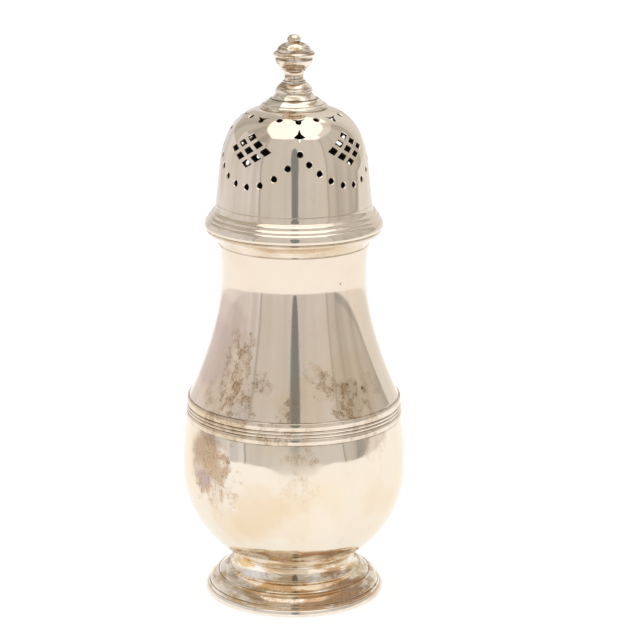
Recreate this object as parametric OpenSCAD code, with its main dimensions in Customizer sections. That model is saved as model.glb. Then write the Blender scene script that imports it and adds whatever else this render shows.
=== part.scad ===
// Sugar caster: a pear-shaped silver body on a moulded foot, with a pierced pull-off cover.
// Millimetres, +Z up, axis on Z, standing on Z = 0. The front of the caster faces -Y.

/* [Sheet] */
// Thickness of the body's sheet
sheet = 0.9; // [0.7:0.05:1.2]
// Thickness of the cover's sheet
cover_sheet = 0.8; // [0.6:0.05:1.1]

/* [Foot] */
// Diameter of the foot over its base wire
foot_d = 57; // [54:0.5:62]
// Height of the foot, from the table to the collet
foot_h = 12.5; // [11.5:0.1:14]
// Room between the bowl's rounded bottom and the foot's upper edge
foot_room = 0.4; // [0.2:0.05:0.8]
// Width of the hollow moulding
scotia_w = 2.1; // [1.6:0.1:2.8]
// Height of the hollow moulding
scotia_h = 4.5; // [3.6:0.1:5]
// Height of the base wire
base_wire_h = 2; // [1.6:0.1:2.4]
// Radial width of the base wire
base_wire_w = 1.9; // [1.5:0.1:2.4]
// How far the foot stands back from the base wire's edge
base_wire_step = 0.7; // [0.5:0.05:1.2]
// Height of the thin reed above the base wire
foot_reed_h = 1.1; // [0.7:0.1:1.5]
// Inward step of the thin reed
foot_reed_in = 0.5; // [0.3:0.05:0.8]
// Height of the broad round moulding
foot_torus_h = 2.9; // [2.4:0.1:3.2]
// Inward step of the broad round moulding
foot_torus_in = 3; // [2.2:0.1:3.4]
// Height of the collet
collet_h = 0.8; // [0.6:0.1:1.2]

/* [Bowl] */
// Widest diameter of the bowl
bowl_d = 71.2; // [68:0.2:76]
// Height from the collet to the widest place
bowl_drop = 29.3; // [28:0.1:30.5]
// How far the bowl's rounded bottom dips into the foot
bowl_dip = 4.6; // [3.4:0.1:5.6]
// Height from the widest place to the girdle
bowl_rise = 16.7; // [14:0.1:20]
// Width of the ledge on the bowl's shoulder that carries the girdle
girdle_ledge = 0.65; // [0.4:0.05:1]

/* [Girdle] */
// Diameter of the seat that the girdle is soldered round
girdle_seat_d = 66.8; // [65:0.1:67.4]
// Height of the lower bead
girdle_low_h = 2.25; // [1.6:0.05:3]
// Height of each of the two fine reeds
girdle_reed_h = 1.05; // [0.7:0.05:1.4]
// Height of the upper bead
girdle_top_h = 2.55; // [1.8:0.05:3.2]

/* [Neck] */
// Outer diameter of the neck at its throat
throat_d = 45.6; // [43:0.1:48]
// Height from the girdle to the throat
neck_h = 38.6; // [30:0.2:48]
// Height from the throat to the mouth
mouth_rise = 16; // [14.2:0.1:20]
// Sweep of the neck: 1 is a straight cone, 2 a parabola
neck_sweep = 1.69; // [1.4:0.01:2]
// Widening of the neck under the mouth wire
mouth_flare = 0.6; // [0.2:0.05:1]

/* [Mouth wire] */
// Height of the band under the mouth reed
mouth_band_h = 3.8; // [2.8:0.05:4.4]
// Height of the mouth reed
mouth_reed_h = 1.4; // [1:0.05:2]
// How far the mouth reed stands out from the neck
mouth_reed_out = 4.2; // [3.6:0.1:4.6]

/* [Cover] */
// Radial play of the bezel in the mouth
bezel_play = 0.08; // [0.03:0.01:0.1]
// Length of the bezel below the cover
bezel_l = 9.6; // [7:0.1:12]
// Thickness of the bezel's flange
bezel_flange_h = 0.8; // [0.6:0.05:1.1]
// How far the dome stands out from the bezel
dome_out = 2.58; // [2.2:0.02:3]
// Height from the mouth to where the dome's wall begins to turn in
dome_spring_h = 20; // [17:0.1:24]
// Inward lean of the dome's wall, in degrees
dome_lean = 5.9; // [3:0.1:7.5]
// Radius of the dome's shoulder
dome_shoulder_r = 32; // [28:0.5:36]
// Slope at which the shoulder becomes the crown, in degrees
dome_turn = 23.4; // [20:0.1:27]
// Radius of the crown
dome_crown_r = 14.1; // [13.2:0.1:15]
// Diameter of the flat that carries the finial's boss
crown_flat_d = 20.8; // [19.6:0.1:21.4]

/* [Cover rim] */
// Height of the large lower reed
rim_low_h = 3; // [2.4:0.1:3.8]
// Height of each of the two upper reeds
rim_reed_h = 1.25; // [0.9:0.05:1.7]
// Height of the hollow above the reeds
rim_cove_h = 2.1; // [1.5:0.1:2.7]
// How far the large reed's root stands out from the dome
rim_out = 2.6; // [2.2:0.1:3.2]
// How far the large reed swells from its root
rim_swell = 0.8; // [0.5:0.05:1.1]

/* [Piercing] */
// Repeats of star, lattice and festoon round the dome
repeats = 4; // [3:1:4]
// Turn of the pattern from the front, in degrees
pattern_turn = 5; // [-45:1:45]
// Diameter of the round holes
dot_d = 1.8; // [1.2:0.1:2.1]
// Round holes in each festoon, counting one of its two ends
festoon_dots = 9; // [6:1:9]
// Depth of a festoon's lowest hole below where the dome's wall begins to turn in
festoon_drop = 3.8; // [3:0.1:5]
// Rise of a festoon from its middle to its ends
festoon_rise = 10.7; // [9:0.1:11]
// Height of the stars above where the wall begins to turn in
star_h = 11.6; // [11:0.1:12]
// Height of the lattices above where the wall begins to turn in
lattice_h = 7.2; // [6.6:0.1:7.8]
// Angle between neighbouring holes of a lattice, in degrees
lattice_step_a = 8.1; // [7.2:0.1:8.6]
// Height between neighbouring holes of a lattice
lattice_step_h = 1.93; // [1.7:0.01:2.1]
// Width of a lattice hole as a share of the lattice's pitch
lattice_open = 0.6; // [0.45:0.01:0.66]
// Winged holes round the crown
crown_holes = 8; // [6:1:8]
// Depth of the crown holes below the flat of the crown
crown_row_drop = 1.9; // [1.7:0.05:2.1]

/* [Finial] */
// Height of the stepped boss
boss_h = 8.3; // [7.4:0.1:9.4]
// Height of the stem and cup
stem_h = 7.5; // [6.6:0.1:9]
// Height of the cap's flange
flange_h = 1.5; // [1.1:0.05:2]
// Height of the cap's dome
cap_dome_h = 3.2; // [2.6:0.1:3.8]
// Diameter of the button
button_d = 4.2; // [3.4:0.1:4.8]
// Height of the button's rounded half
button_crown = 1.5; // [1.2:0.1:1.8]
// Height of the button above the cap's dome
button_h = 2.1; // [1.9:0.05:2.6]
// Diameter of the cup where it meets the cap
cup_d = 11.4; // [10.4:0.1:12.4]
// Diameter of the stem at its thinnest
stem_d = 5.7; // [5:0.1:6.4]
// Diameter of the stud that holds the finial
stud_d = 2.6; // [2:0.1:2.8]
// Clearance round the stud
stud_play = 0.05; // [0.02:0.01:0.1]
// Thickness of the washer
washer_h = 0.8; // [0.5:0.1:1.2]
// Diameter of the washer
washer_d = 9; // [7.5:0.1:11]
// Height of the nut
nut_h = 2.2; // [1.6:0.1:3]
// Width of the nut across its corners
nut_d = 6.4; // [5.4:0.1:7.2]
// Length of stud that shows below the nut
stud_end = 0.6; // [0.2:0.1:1.2]

/* [Hidden] */
$fn = 96;

// Colours of the silver, warmer on the body than on the cover
body_silver = [0.86, 0.82, 0.73];
cover_silver = [0.80, 0.78, 0.74];
foot_silver = [0.80, 0.72, 0.60];
plain_silver = [0.72, 0.70, 0.66];

// Steps along a short curve, along a bead and along one of the long body curves
short_n = 6;
bead_n = 8;
curve_n = 18;

// How far a cutter runs past the faces that it cuts
past = 1;

// Levels, from the table up
z_belly = foot_h + bowl_drop;
bowl_depth = bowl_drop + bowl_dip;
z_girdle = z_belly + bowl_rise;
girdle_h = girdle_low_h + 2 * girdle_reed_h + girdle_top_h;
z_seam = z_girdle + girdle_low_h + girdle_reed_h;
z_neck = z_girdle + girdle_h;
z_throat = z_neck + neck_h;
z_mouth = z_throat + mouth_rise;
z_mouth_wire = z_mouth - mouth_reed_h - mouth_band_h;
z_skirt = z_mouth + bezel_flange_h;
z_rim_top = z_mouth + rim_low_h + 2 * rim_reed_h + rim_cove_h;
z_spring = z_mouth + dome_spring_h;

// Radii that pieces share
bowl_r = bowl_d / 2;
seat_r = girdle_seat_d / 2;
shoulder_r = seat_r + girdle_ledge;
throat_r = throat_d / 2;
bore_r = throat_r - sheet;
mouth_r = throat_r + mouth_flare;
bezel_r = bore_r - bezel_play;
dome_r = bezel_r + dome_out;
stem_waist = 0.5;
stem_foot_r = stem_d / 2 + stem_waist;
stud_r = stud_d / 2;
stud_hole_r = stud_r + stud_play;

// The dome's outline: a leaning wall, a wide shoulder arc and a tighter crown arc
spring_r = dome_r - (z_spring - z_rim_top) * tan(dome_lean);
shoulder_c = [spring_r, z_spring] - dome_shoulder_r * [cos(dome_lean), sin(dome_lean)];
turn_p = shoulder_c + dome_shoulder_r * [cos(dome_turn), sin(dome_turn)];
crown_c = turn_p - dome_crown_r * [cos(dome_turn), sin(dome_turn)];
flat_a = acos((crown_flat_d / 2 - crown_c[0]) / dome_crown_r);
z_crown = crown_c[1] + dome_crown_r * sin(flat_a);

// Levels of the finial, from the crown up, and of its fixing, from the crown down
z_stem = z_crown + boss_h;
z_cap = z_stem + stem_h;
z_cap_dome = z_cap + flange_h;
z_washer = z_crown - cover_sheet - washer_h;
z_nut = z_washer - nut_h;
stud_depth = stem_h / 2;

// Points on an arc, from angle a0 to a1, on an ellipse of half widths rr and rz
function arc(c, rr, rz, a0, a1, n) =
    [for (i = [0:n]) let (a = a0 + (a1 - a0) * i / n) [c[0] + rr * cos(a), c[1] + rz * sin(a)]];

// A bead from p0 up to p1 that swells outwards, or inwards with a negative swell
function bead(p0, p1, swell, n = bead_n) =
    let (d = p1 - p0, out = [d[1], -d[0]] / norm(d))
    [for (i = [0:n]) let (a = 180 * i / n) p0 + d * (1 - cos(a)) / 2 + out * swell * sin(a)];

// Radius of the bowl's outside at height z, below and above its widest place
function bowl_low(z) = bowl_r * sqrt(1 - pow((z_belly - z) / bowl_depth, 2));
function bowl_high(z) =
    bowl_r - (bowl_r - shoulder_r) * pow((z - z_belly) / bowl_rise, 2);

// Outer radius of the foot at its upper edge, clear of the bowl
foot_top_r = bowl_low(foot_h) + foot_room + sheet;

// Radius of the neck's outside at height z
function neck_out(z) = z < z_throat
    ? throat_r + (seat_r - throat_r) * pow((z_throat - z) / neck_h, neck_sweep)
    : throat_r + mouth_flare * pow((z - z_throat) / (z_mouth_wire - z_throat), 2);

// Heights from z0 to z1 in n steps
function levels(z0, z1, n) = [for (i = [0:n]) z0 + (z1 - z0) * i / n];

// Points of a list, from its last to its first, and all but its first
function backwards(p) = [for (i = [len(p) - 1:-1:0]) p[i]];
function after_first(p) = [for (i = [1:len(p) - 1]) p[i]];

// Slope of the dome's surface at height z, in degrees from upright, and its radius there
function dome_slope(z) = z < z_spring ? dome_lean
    : z < turn_p[1] ? asin((z - shoulder_c[1]) / dome_shoulder_r)
    : asin((z - crown_c[1]) / dome_crown_r);
function dome_at(z) = z < z_spring ? dome_r - (z - z_rim_top) * tan(dome_lean)
    : z < turn_p[1] ? shoulder_c[0] + dome_shoulder_r * cos(dome_slope(z))
    : crown_c[0] + dome_crown_r * cos(dome_slope(z));

// Angle at which the crown's arc, set in by t, meets a flat that is lower by t
function flat_end(t) = asin((z_crown - t - crown_c[1]) / (dome_crown_r - t));

// The dome's outline from its skirt to the crown's flat, set in by t
function dome_line(t) = concat(
    [[dome_r - t, z_skirt], [dome_r - t, z_rim_top]],
    arc(shoulder_c, dome_shoulder_r - t, dome_shoulder_r - t, dome_lean, dome_turn, short_n),
    after_first(arc(crown_c, dome_crown_r - t, dome_crown_r - t, dome_turn, flat_end(t), bead_n)));

// A solid of revolution about Z
module turned(outline) {
    rotate_extrude() polygon(outline);
}

// The base wire: a flat underside, a rounded face and a flat top for the foot
module foot_rim() {
    swell = 0.5;
    ease = 0.15;
    r = foot_d / 2;
    inner = r - base_wire_w;
    face = bead([r - ease, 0], [r - base_wire_step, base_wire_h], swell);
    color(foot_silver) turned(concat([[inner, 0]], face, [[inner, base_wire_h]]));
}

// The foot: reed, broad round, small round and a hollow moulding, open below
module foot() {
    reed_swell = 0.2;
    torus_swell = 0.5;
    round_swell = 0.3;
    reed0 = [foot_d / 2 - base_wire_step, base_wire_h];
    reed1 = reed0 + [-foot_reed_in, foot_reed_h];
    torus1 = reed1 + [-foot_torus_in, foot_torus_h];
    hollow_c = [foot_top_r + scotia_w, foot_h];
    hollow = arc(hollow_c, scotia_w, scotia_h, 270, 180, bead_n);
    under = arc(hollow_c, scotia_w + sheet, scotia_h + sheet, 180, 270, bead_n);
    outside = concat(bead(reed0, reed1, reed_swell), bead(reed1, torus1, torus_swell),
        bead(torus1, hollow[0], round_swell), hollow);
    inside = concat(under, [[foot_d / 2 - base_wire_w, base_wire_h]]);
    color(foot_silver) turned(concat(outside, inside));
}

// The collet: a thin wire in the angle between the foot and the bowl
module foot_collet() {
    swell = 0.25;
    ease = 0.05;
    low = [bowl_low(foot_h), foot_h];
    top = [bowl_low(foot_h + collet_h), foot_h + collet_h];
    face = bead([foot_top_r + ease, foot_h], top, swell);
    color(foot_silver) turned(concat([low], face));
}

// The bowl: a rounded bottom that dips into the foot, and a shoulder that takes the girdle
module bowl() {
    a_foot = asin(-bowl_drop / bowl_depth);
    a_collet = asin((collet_h - bowl_drop) / bowl_depth);
    c = [0, z_belly];
    outside = concat(
        arc(c, bowl_r, bowl_depth, -90, a_foot, short_n),
        arc(c, bowl_r, bowl_depth, a_collet, 0, curve_n),
        [for (z = after_first(levels(z_belly, z_girdle, short_n))) [bowl_high(z), z]],
        [[seat_r, z_girdle], [seat_r, z_seam]]);
    inside = concat(
        [[seat_r - sheet, z_seam], [seat_r - sheet, z_girdle]],
        [for (z = after_first(levels(z_girdle, z_belly, short_n))) [bowl_high(z) - sheet, z]],
        after_first(arc(c, bowl_r - sheet, bowl_depth - sheet, 0, -90, curve_n)));
    color(body_silver) turned(concat(outside, inside));
}

// The girdle: two beads with two fine reeds between them
module girdle() {
    heights = [girdle_low_h, girdle_reed_h, girdle_reed_h, girdle_top_h];
    swells = [0.5, 0.35, 0.35, 0.4];
    high_out = 0.25;
    low = [shoulder_r, z_girdle];
    high = [seat_r + high_out, z_neck];
    function up(i) = i == 0 ? 0 : heights[i - 1] + up(i - 1);
    function root(i) = low + (high - low) * up(i) / girdle_h;
    beads = [for (i = [0:3]) each bead(root(i), root(i + 1), swells[i])];
    color(body_silver) turned(concat([[seat_r, z_girdle]], beads, [[seat_r, z_neck]]));
}

// The neck: a sweep from the girdle in to the throat, and a straight bore at the mouth
module neck() {
    sweep = levels(z_neck, z_throat, curve_n);
    flare = levels(z_throat, z_mouth_wire, short_n);
    outside = concat(
        [[seat_r, z_seam]],
        [for (z = sweep) [neck_out(z), z]],
        [for (z = after_first(flare)) [neck_out(z), z]],
        [[mouth_r, z_mouth]]);
    inside = concat(
        [[bore_r, z_mouth]],
        [for (z = backwards(sweep)) [neck_out(z) - sheet, z]],
        [[seat_r - sheet, z_seam]]);
    color(body_silver) turned(concat(outside, inside));
}

// The mouth wire: a hollow band that spreads to a reed, with a flat top for the cover
module mouth_wire() {
    band_ledge = 0.35;
    band_hollow = 0.15;
    reed_swell = 0.6;
    reed_low_in = 0.9;
    reed_top_in = 0.5;
    band0 = [mouth_r + band_ledge, z_mouth_wire];
    band1 = [mouth_r + mouth_reed_out - reed_low_in, z_mouth - mouth_reed_h];
    reed1 = [mouth_r + mouth_reed_out - reed_top_in, z_mouth];
    face = concat(bead(band0, band1, -band_hollow), bead(band1, reed1, reed_swell));
    color(body_silver) turned(concat([[mouth_r, z_mouth_wire]], face, [[mouth_r, z_mouth]]));
}

// The bezel: a sleeve that slips into the mouth, with a flange that carries the cover
module cover_bezel() {
    bottom = z_mouth - bezel_l;
    full_h = bezel_l + bezel_flange_h;
    color(plain_silver) difference() {
        union() {
            translate([0, 0, bottom]) cylinder(r = bezel_r, h = full_h);
            translate([0, 0, z_mouth]) cylinder(r = dome_r, h = bezel_flange_h);
        }
        translate([0, 0, bottom - past]) cylinder(r = bezel_r - sheet, h = full_h + 2 * past);
    }
}

// The cover rim: a large reed, two smaller ones and a hollow that runs into the dome
module cover_rim() {
    root_low_out = 0.3;
    root_top_in = 0.1;
    reed_in = [0.95, 0.75];
    reed_swell = [0.3, 0.25];
    root0 = [dome_r + rim_out + root_low_out, z_mouth];
    root1 = [dome_r + rim_out - root_top_in, z_mouth + rim_low_h];
    root2 = root1 + [-reed_in[0], rim_reed_h];
    root3 = root2 + [-reed_in[1], rim_reed_h];
    cove = arc([root3[0], z_rim_top], root3[0] - dome_r, rim_cove_h, 270, 180, bead_n);
    face = concat(bead(root0, root1, rim_swell), bead(root1, root2, reed_swell[0]),
        bead(root2, root3, reed_swell[1]), cove);
    color(cover_silver) turned(concat([[dome_r, z_mouth]], face));
}

// Puts a shape flat on the dome at a height and a turn from the front, facing outwards
module on_dome(turn, z) {
    rotate([0, 0, turn]) translate([0, -dome_at(z), z]) rotate([90 - dome_slope(z), 0, 0]) children();
}

// A cutter through the dome's sheet, with the shape of its flat children
module piercing() {
    depth = 2 * cover_sheet;
    translate([0, 0, -depth]) linear_extrude(depth + past) children();
}

// A four-pointed star with hollow sides and a long upper point
module star_shape() {
    up = 2.95;
    down = 1.65;
    side = 1.72;
    high = [0.5, 1.15];
    low = [0.48, -0.45];
    right = [[0, up], high, [side, 0], low, [0, -down]];
    polygon(concat(right, [for (p = backwards(right)) if (p[0] > 0) [-p[0], p[1]]]));
}

// A winged hole: a round drop with two tapering wings that rise from it
module winged_shape() {
    drop_r = 0.85;
    drop_c = [0, -0.4];
    tip = [2.15, 1.3];
    crest = [1, 0.82];
    dip = 0.6;
    opening = 30;
    drop = arc(drop_c, drop_r, drop_r, opening, -180 - opening, curve_n);
    polygon(concat(drop, [[-tip[0], tip[1]], [-crest[0], crest[1]], [0, dip], crest, tip]));
}

// Nine lozenges, three by three, set on their corners
module lattice(turn) {
    for (i = [-1:1], j = [-1:1]) {
        z = z_spring + lattice_h - (i + j) * lattice_step_h;
        half_w = lattice_open * lattice_step_a * dome_at(z) * PI / 180;
        half_h = lattice_open * lattice_step_h / cos(dome_slope(z));
        on_dome(turn + (i - j) * lattice_step_a, z)
            piercing() polygon([[half_w, 0], [0, half_h], [-half_w, 0], [0, -half_h]]);
    }
}

// One festoon of round holes, set out by hand, so a little closer together on its left
module festoon(turn) {
    lean = 4.2;
    gather = 2.2;
    span = 360 / repeats;
    for (k = [0:festoon_dots - 1]) {
        u = k / festoon_dots;
        a = span * u - lean * sin(180 * u) - gather * sin(360 * u);
        z = z_spring - festoon_drop + festoon_rise * pow(2 * a / span - 1, 2);
        on_dome(turn + a, z) piercing() circle(d = dot_d);
    }
}

// The dome: a thin sheet with the whole pierced pattern and a hole for the stud
module cover_dome() {
    span = 360 / repeats;
    crown_step = 360 / crown_holes;
    z_row = z_crown - crown_row_drop;
    dot_lift = 0.3;
    eye = [[stud_hole_r, z_crown], [stud_hole_r, z_crown - cover_sheet]];
    color(cover_silver) difference() {
        turned(concat(dome_line(0), eye, backwards(dome_line(cover_sheet))));
        for (k = [0:repeats - 1]) {
            on_dome(pattern_turn + k * span, z_spring + star_h) piercing() star_shape();
            lattice(pattern_turn + (k + 0.5) * span);
            festoon(pattern_turn + k * span);
        }
        for (k = [0:crown_holes - 1]) {
            on_dome(pattern_turn + k * crown_step, z_row) piercing() winged_shape();
            on_dome(pattern_turn + (k + 0.5) * crown_step, z_row + dot_lift) piercing() circle(d = dot_d);
        }
    }
}

// The boss: two rounds, a hollow and two reeds under a fillet
module finial_boss() {
    foot_step = [-1.1, 1.2];
    round_step = [-2, 1.6];
    hollow_step = [-0.15, 0.15];
    fillet_h = 0.6;
    fillet_out = 0.25;
    top_reed_step = [1.6, -1.6];
    low_reed_step = [0.4, -1.3];
    foot_swell = 0.4;
    round_swell = 0.15;
    hollow_swell = -0.25;
    reed_swell = 0.35;
    edge_out = 0.1;
    foot0 = [crown_flat_d / 2 + edge_out, z_crown];
    foot1 = foot0 + foot_step;
    round1 = foot1 + round_step;
    hollow0 = round1 + hollow_step;
    fillet = [stem_foot_r + fillet_out, z_stem];
    reed_top = fillet - [0, fillet_h];
    reed_mid = reed_top + top_reed_step;
    reed_low = reed_mid + low_reed_step;
    outside = concat(bead(foot0, foot1, foot_swell), bead(foot1, round1, round_swell),
        bead(hollow0, reed_low, hollow_swell), bead(reed_low, reed_mid, reed_swell),
        bead(reed_mid, reed_top, reed_swell), [fillet]);
    color(cover_silver) turned(concat([[stud_hole_r, z_crown]], outside, [[stud_hole_r, z_stem]]));
}

// The stem and cup: a waisted stem, a fine ring and a cup with a plain band
module finial_stem() {
    ring_z = 3.2;
    ring_h = 0.5;
    ring_out = 0.2;
    ring_step = 0.15;
    cup_swell = 0.52;
    band_h = 0.7;
    ring0 = [stem_foot_r + ring_out, z_stem + ring_z];
    ring1 = ring0 + [ring_step, ring_h];
    band0 = [cup_d / 2, z_cap - band_h];
    outside = concat(bead([stem_foot_r, z_stem], ring0 - [ring_step, 0], -stem_waist),
        bead(ring0, ring1, ring_step), bead(ring1, band0, cup_swell), [[cup_d / 2, z_cap]]);
    z_socket = z_stem + stud_depth;
    socket = [[0, z_socket], [stud_hole_r, z_socket], [stud_hole_r, z_stem]];
    color(cover_silver) turned(concat(outside, [[0, z_cap]], socket));
}

// The cap: a round flange, a low dome and a flattened button on a short neck
module finial_cap() {
    flange_swell = 0.85;
    flange_out = 0.05;
    dome_in = 0.4;
    dome_end = 72;
    button_start = -36;
    dome_foot_r = cup_d / 2 - dome_in;
    button_c = [0, z_cap_dome + cap_dome_h + button_h - button_crown];
    outside = concat(
        [[0, z_cap]],
        bead([cup_d / 2 + flange_out, z_cap], [dome_foot_r + flange_out, z_cap_dome], flange_swell),
        arc([0, z_cap_dome], dome_foot_r, cap_dome_h, 0, dome_end, bead_n),
        arc(button_c, button_d / 2, button_crown, button_start, 90, bead_n));
    color(cover_silver) turned(outside);
}

// The stud: a plain pin from the stem's socket down through boss, dome, washer and nut
module finial_stud() {
    bottom = z_nut - stud_end;
    color(plain_silver) translate([0, 0, bottom])
        cylinder(r = stud_r, h = z_stem + stud_depth - bottom);
}

// The washer under the crown
module finial_washer() {
    color(plain_silver) translate([0, 0, z_washer]) difference() {
        cylinder(d = washer_d, h = washer_h);
        translate([0, 0, -past]) cylinder(r = stud_hole_r, h = washer_h + 2 * past);
    }
}

// The nut under the washer
module finial_nut() {
    color(plain_silver) translate([0, 0, z_nut]) difference() {
        cylinder(d = nut_d, h = nut_h, $fn = 6);
        translate([0, 0, -past]) cylinder(r = stud_hole_r, h = nut_h + 2 * past);
    }
}

foot_rim();
foot();
foot_collet();
bowl();
girdle();
neck();
mouth_wire();
cover_bezel();
cover_rim();
cover_dome();
finial_boss();
finial_stem();
finial_cap();
finial_stud();
finial_washer();
finial_nut();
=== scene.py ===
"""Sugar caster in silver plate: turned pieces, a pierced pull-off cover, tarnished finishes, a pale studio.

Sizes are in millimetres and angles in degrees; MM turns them into metres. The caster stands on the
floor with its axis on Z, and its front faces -Y.
"""

import logging
import math
from dataclasses import dataclass, field
from enum import Enum
from functools import lru_cache
from itertools import product
from typing import Optional, Sequence

import bpy
import numpy as np
from mathutils import Matrix, Vector

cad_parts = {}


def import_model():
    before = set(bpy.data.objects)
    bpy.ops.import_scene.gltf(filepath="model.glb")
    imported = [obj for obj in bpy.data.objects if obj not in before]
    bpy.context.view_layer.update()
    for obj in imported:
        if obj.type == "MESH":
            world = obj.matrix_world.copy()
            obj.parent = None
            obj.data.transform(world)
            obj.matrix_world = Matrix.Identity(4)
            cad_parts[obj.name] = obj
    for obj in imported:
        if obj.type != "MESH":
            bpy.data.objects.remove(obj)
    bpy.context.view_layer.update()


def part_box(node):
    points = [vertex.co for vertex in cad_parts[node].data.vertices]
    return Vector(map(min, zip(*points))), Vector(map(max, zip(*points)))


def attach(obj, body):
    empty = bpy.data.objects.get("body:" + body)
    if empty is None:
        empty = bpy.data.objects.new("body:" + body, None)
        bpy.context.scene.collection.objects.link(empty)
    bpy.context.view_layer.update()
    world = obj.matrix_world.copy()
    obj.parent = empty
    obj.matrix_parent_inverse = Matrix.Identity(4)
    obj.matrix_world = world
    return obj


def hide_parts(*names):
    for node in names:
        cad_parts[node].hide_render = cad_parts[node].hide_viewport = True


MM = 0.001

# Steps round the axis
SPIN_STEPS = 224
DOME_STEPS = 384
FINIAL_STEPS = 128

# Steps along a moulding or curve, and across a panel of the tent
BEAD_STEPS = 14
CURVE_STEPS = 64
SHORT_STEPS = 24
PANEL_COLUMNS = 48

# How a mesh is merged, smoothed and marked
MERGE_GAP = 2e-6
SMOOTH_ANGLE = 32.0
GROOVE_TURN = 28.0
SEAM_SHARE = 0.7

# Which faces take the dark inside finish: tarnish, and painted shade where little light reaches
FLOOR_FACING = 0.5
INWARD_FACING = 0.12
SHADE_LINING_DEPTH = 1.3

# The camera's sensor, and the width of the picture in pixels
SENSOR_WIDTH = 36.0
PICTURE_WIDTH = 640.0

# Folds of the tent's cloth per metre along each axis, and where they start and end
FOLDS = (6.5, 6.5, 0.8)
FOLD_BAND = (0.36, 0.64)
WHITE = (1.0, 1.0, 1.0, 1.0)

Point = tuple[float, float]
Outline = list[Point]
Colour = tuple[float, float, float]
Point3 = tuple[float, float, float]
PanelRow = tuple[float, float, float, float]
Socket = bpy.types.NodeSocket

log = logging.getLogger("sugar_caster")


def arc(centre: Point, half_r: float, half_z: float, start: float, end: float, steps: int) -> Outline:
    """Points on an arc of an upright ellipse.

    Args:
        centre: Radius and height of the ellipse's middle.
        half_r: Half width of the ellipse.
        half_z: Half height of the ellipse.
        start: First angle.
        end: Last angle.
        steps: Steps between the first point and the last.

    Returns:
        The points, from the first angle to the last.
    """
    angles = [math.radians(start + (end - start) * i / steps) for i in range(steps + 1)]
    return [(centre[0] + half_r * math.cos(a), centre[1] + half_z * math.sin(a)) for a in angles]


def bead(low: Point, high: Point, swell: float, lean: float = 0.0, steps: int = BEAD_STEPS) -> Outline:
    """Points of a rounded moulding.

    Args:
        low: Where the moulding starts.
        high: Where the moulding ends.
        swell: How far it stands out from the line between them; negative for a hollow.
        lean: Share of its length by which the crest leans to the start.
        steps: Steps along it.

    Returns:
        The points, from low to high.
    """
    run, rise = high[0] - low[0], high[1] - low[1]
    length = math.hypot(run, rise)
    out_r, out_z = rise / length * swell, -run / length * swell
    points = []
    for i in range(steps + 1):
        a = math.pi * i / steps
        along = (1 - math.cos(a)) / 2 - lean * math.sin(a)
        points.append((low[0] + run * along + out_r * math.sin(a), low[1] + rise * along + out_z * math.sin(a)))
    return points


def levels(low: float, high: float, steps: int) -> list[float]:
    """Heights from low to high in equal steps."""
    return [low + (high - low) * i / steps for i in range(steps + 1)]


def grooves_of(outline: Outline, sharp: float = GROOVE_TURN) -> Outline:
    """Finds the grooves of a closed outline, where dirt stays when the silver is polished.

    Args:
        outline: Points round the section, in either direction.
        sharp: Least turn into the metal that counts as a groove.

    Returns:
        The groove points.
    """
    count = len(outline)
    area = sum(outline[i - 1][0] * outline[i][1] - outline[i][0] * outline[i - 1][1] for i in range(count))
    side = 1.0 if area > 0 else -1.0
    found = []
    for i in range(count):
        before, here, after = outline[i - 1], outline[i], outline[(i + 1) % count]
        a = (here[0] - before[0], here[1] - before[1])
        b = (after[0] - here[0], after[1] - here[1])
        turn = math.degrees(math.atan2(a[0] * b[1] - a[1] * b[0], a[0] * b[0] + a[1] * b[1])) * side
        if turn < -sharp:
            found.append(here)
    return found


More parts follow.
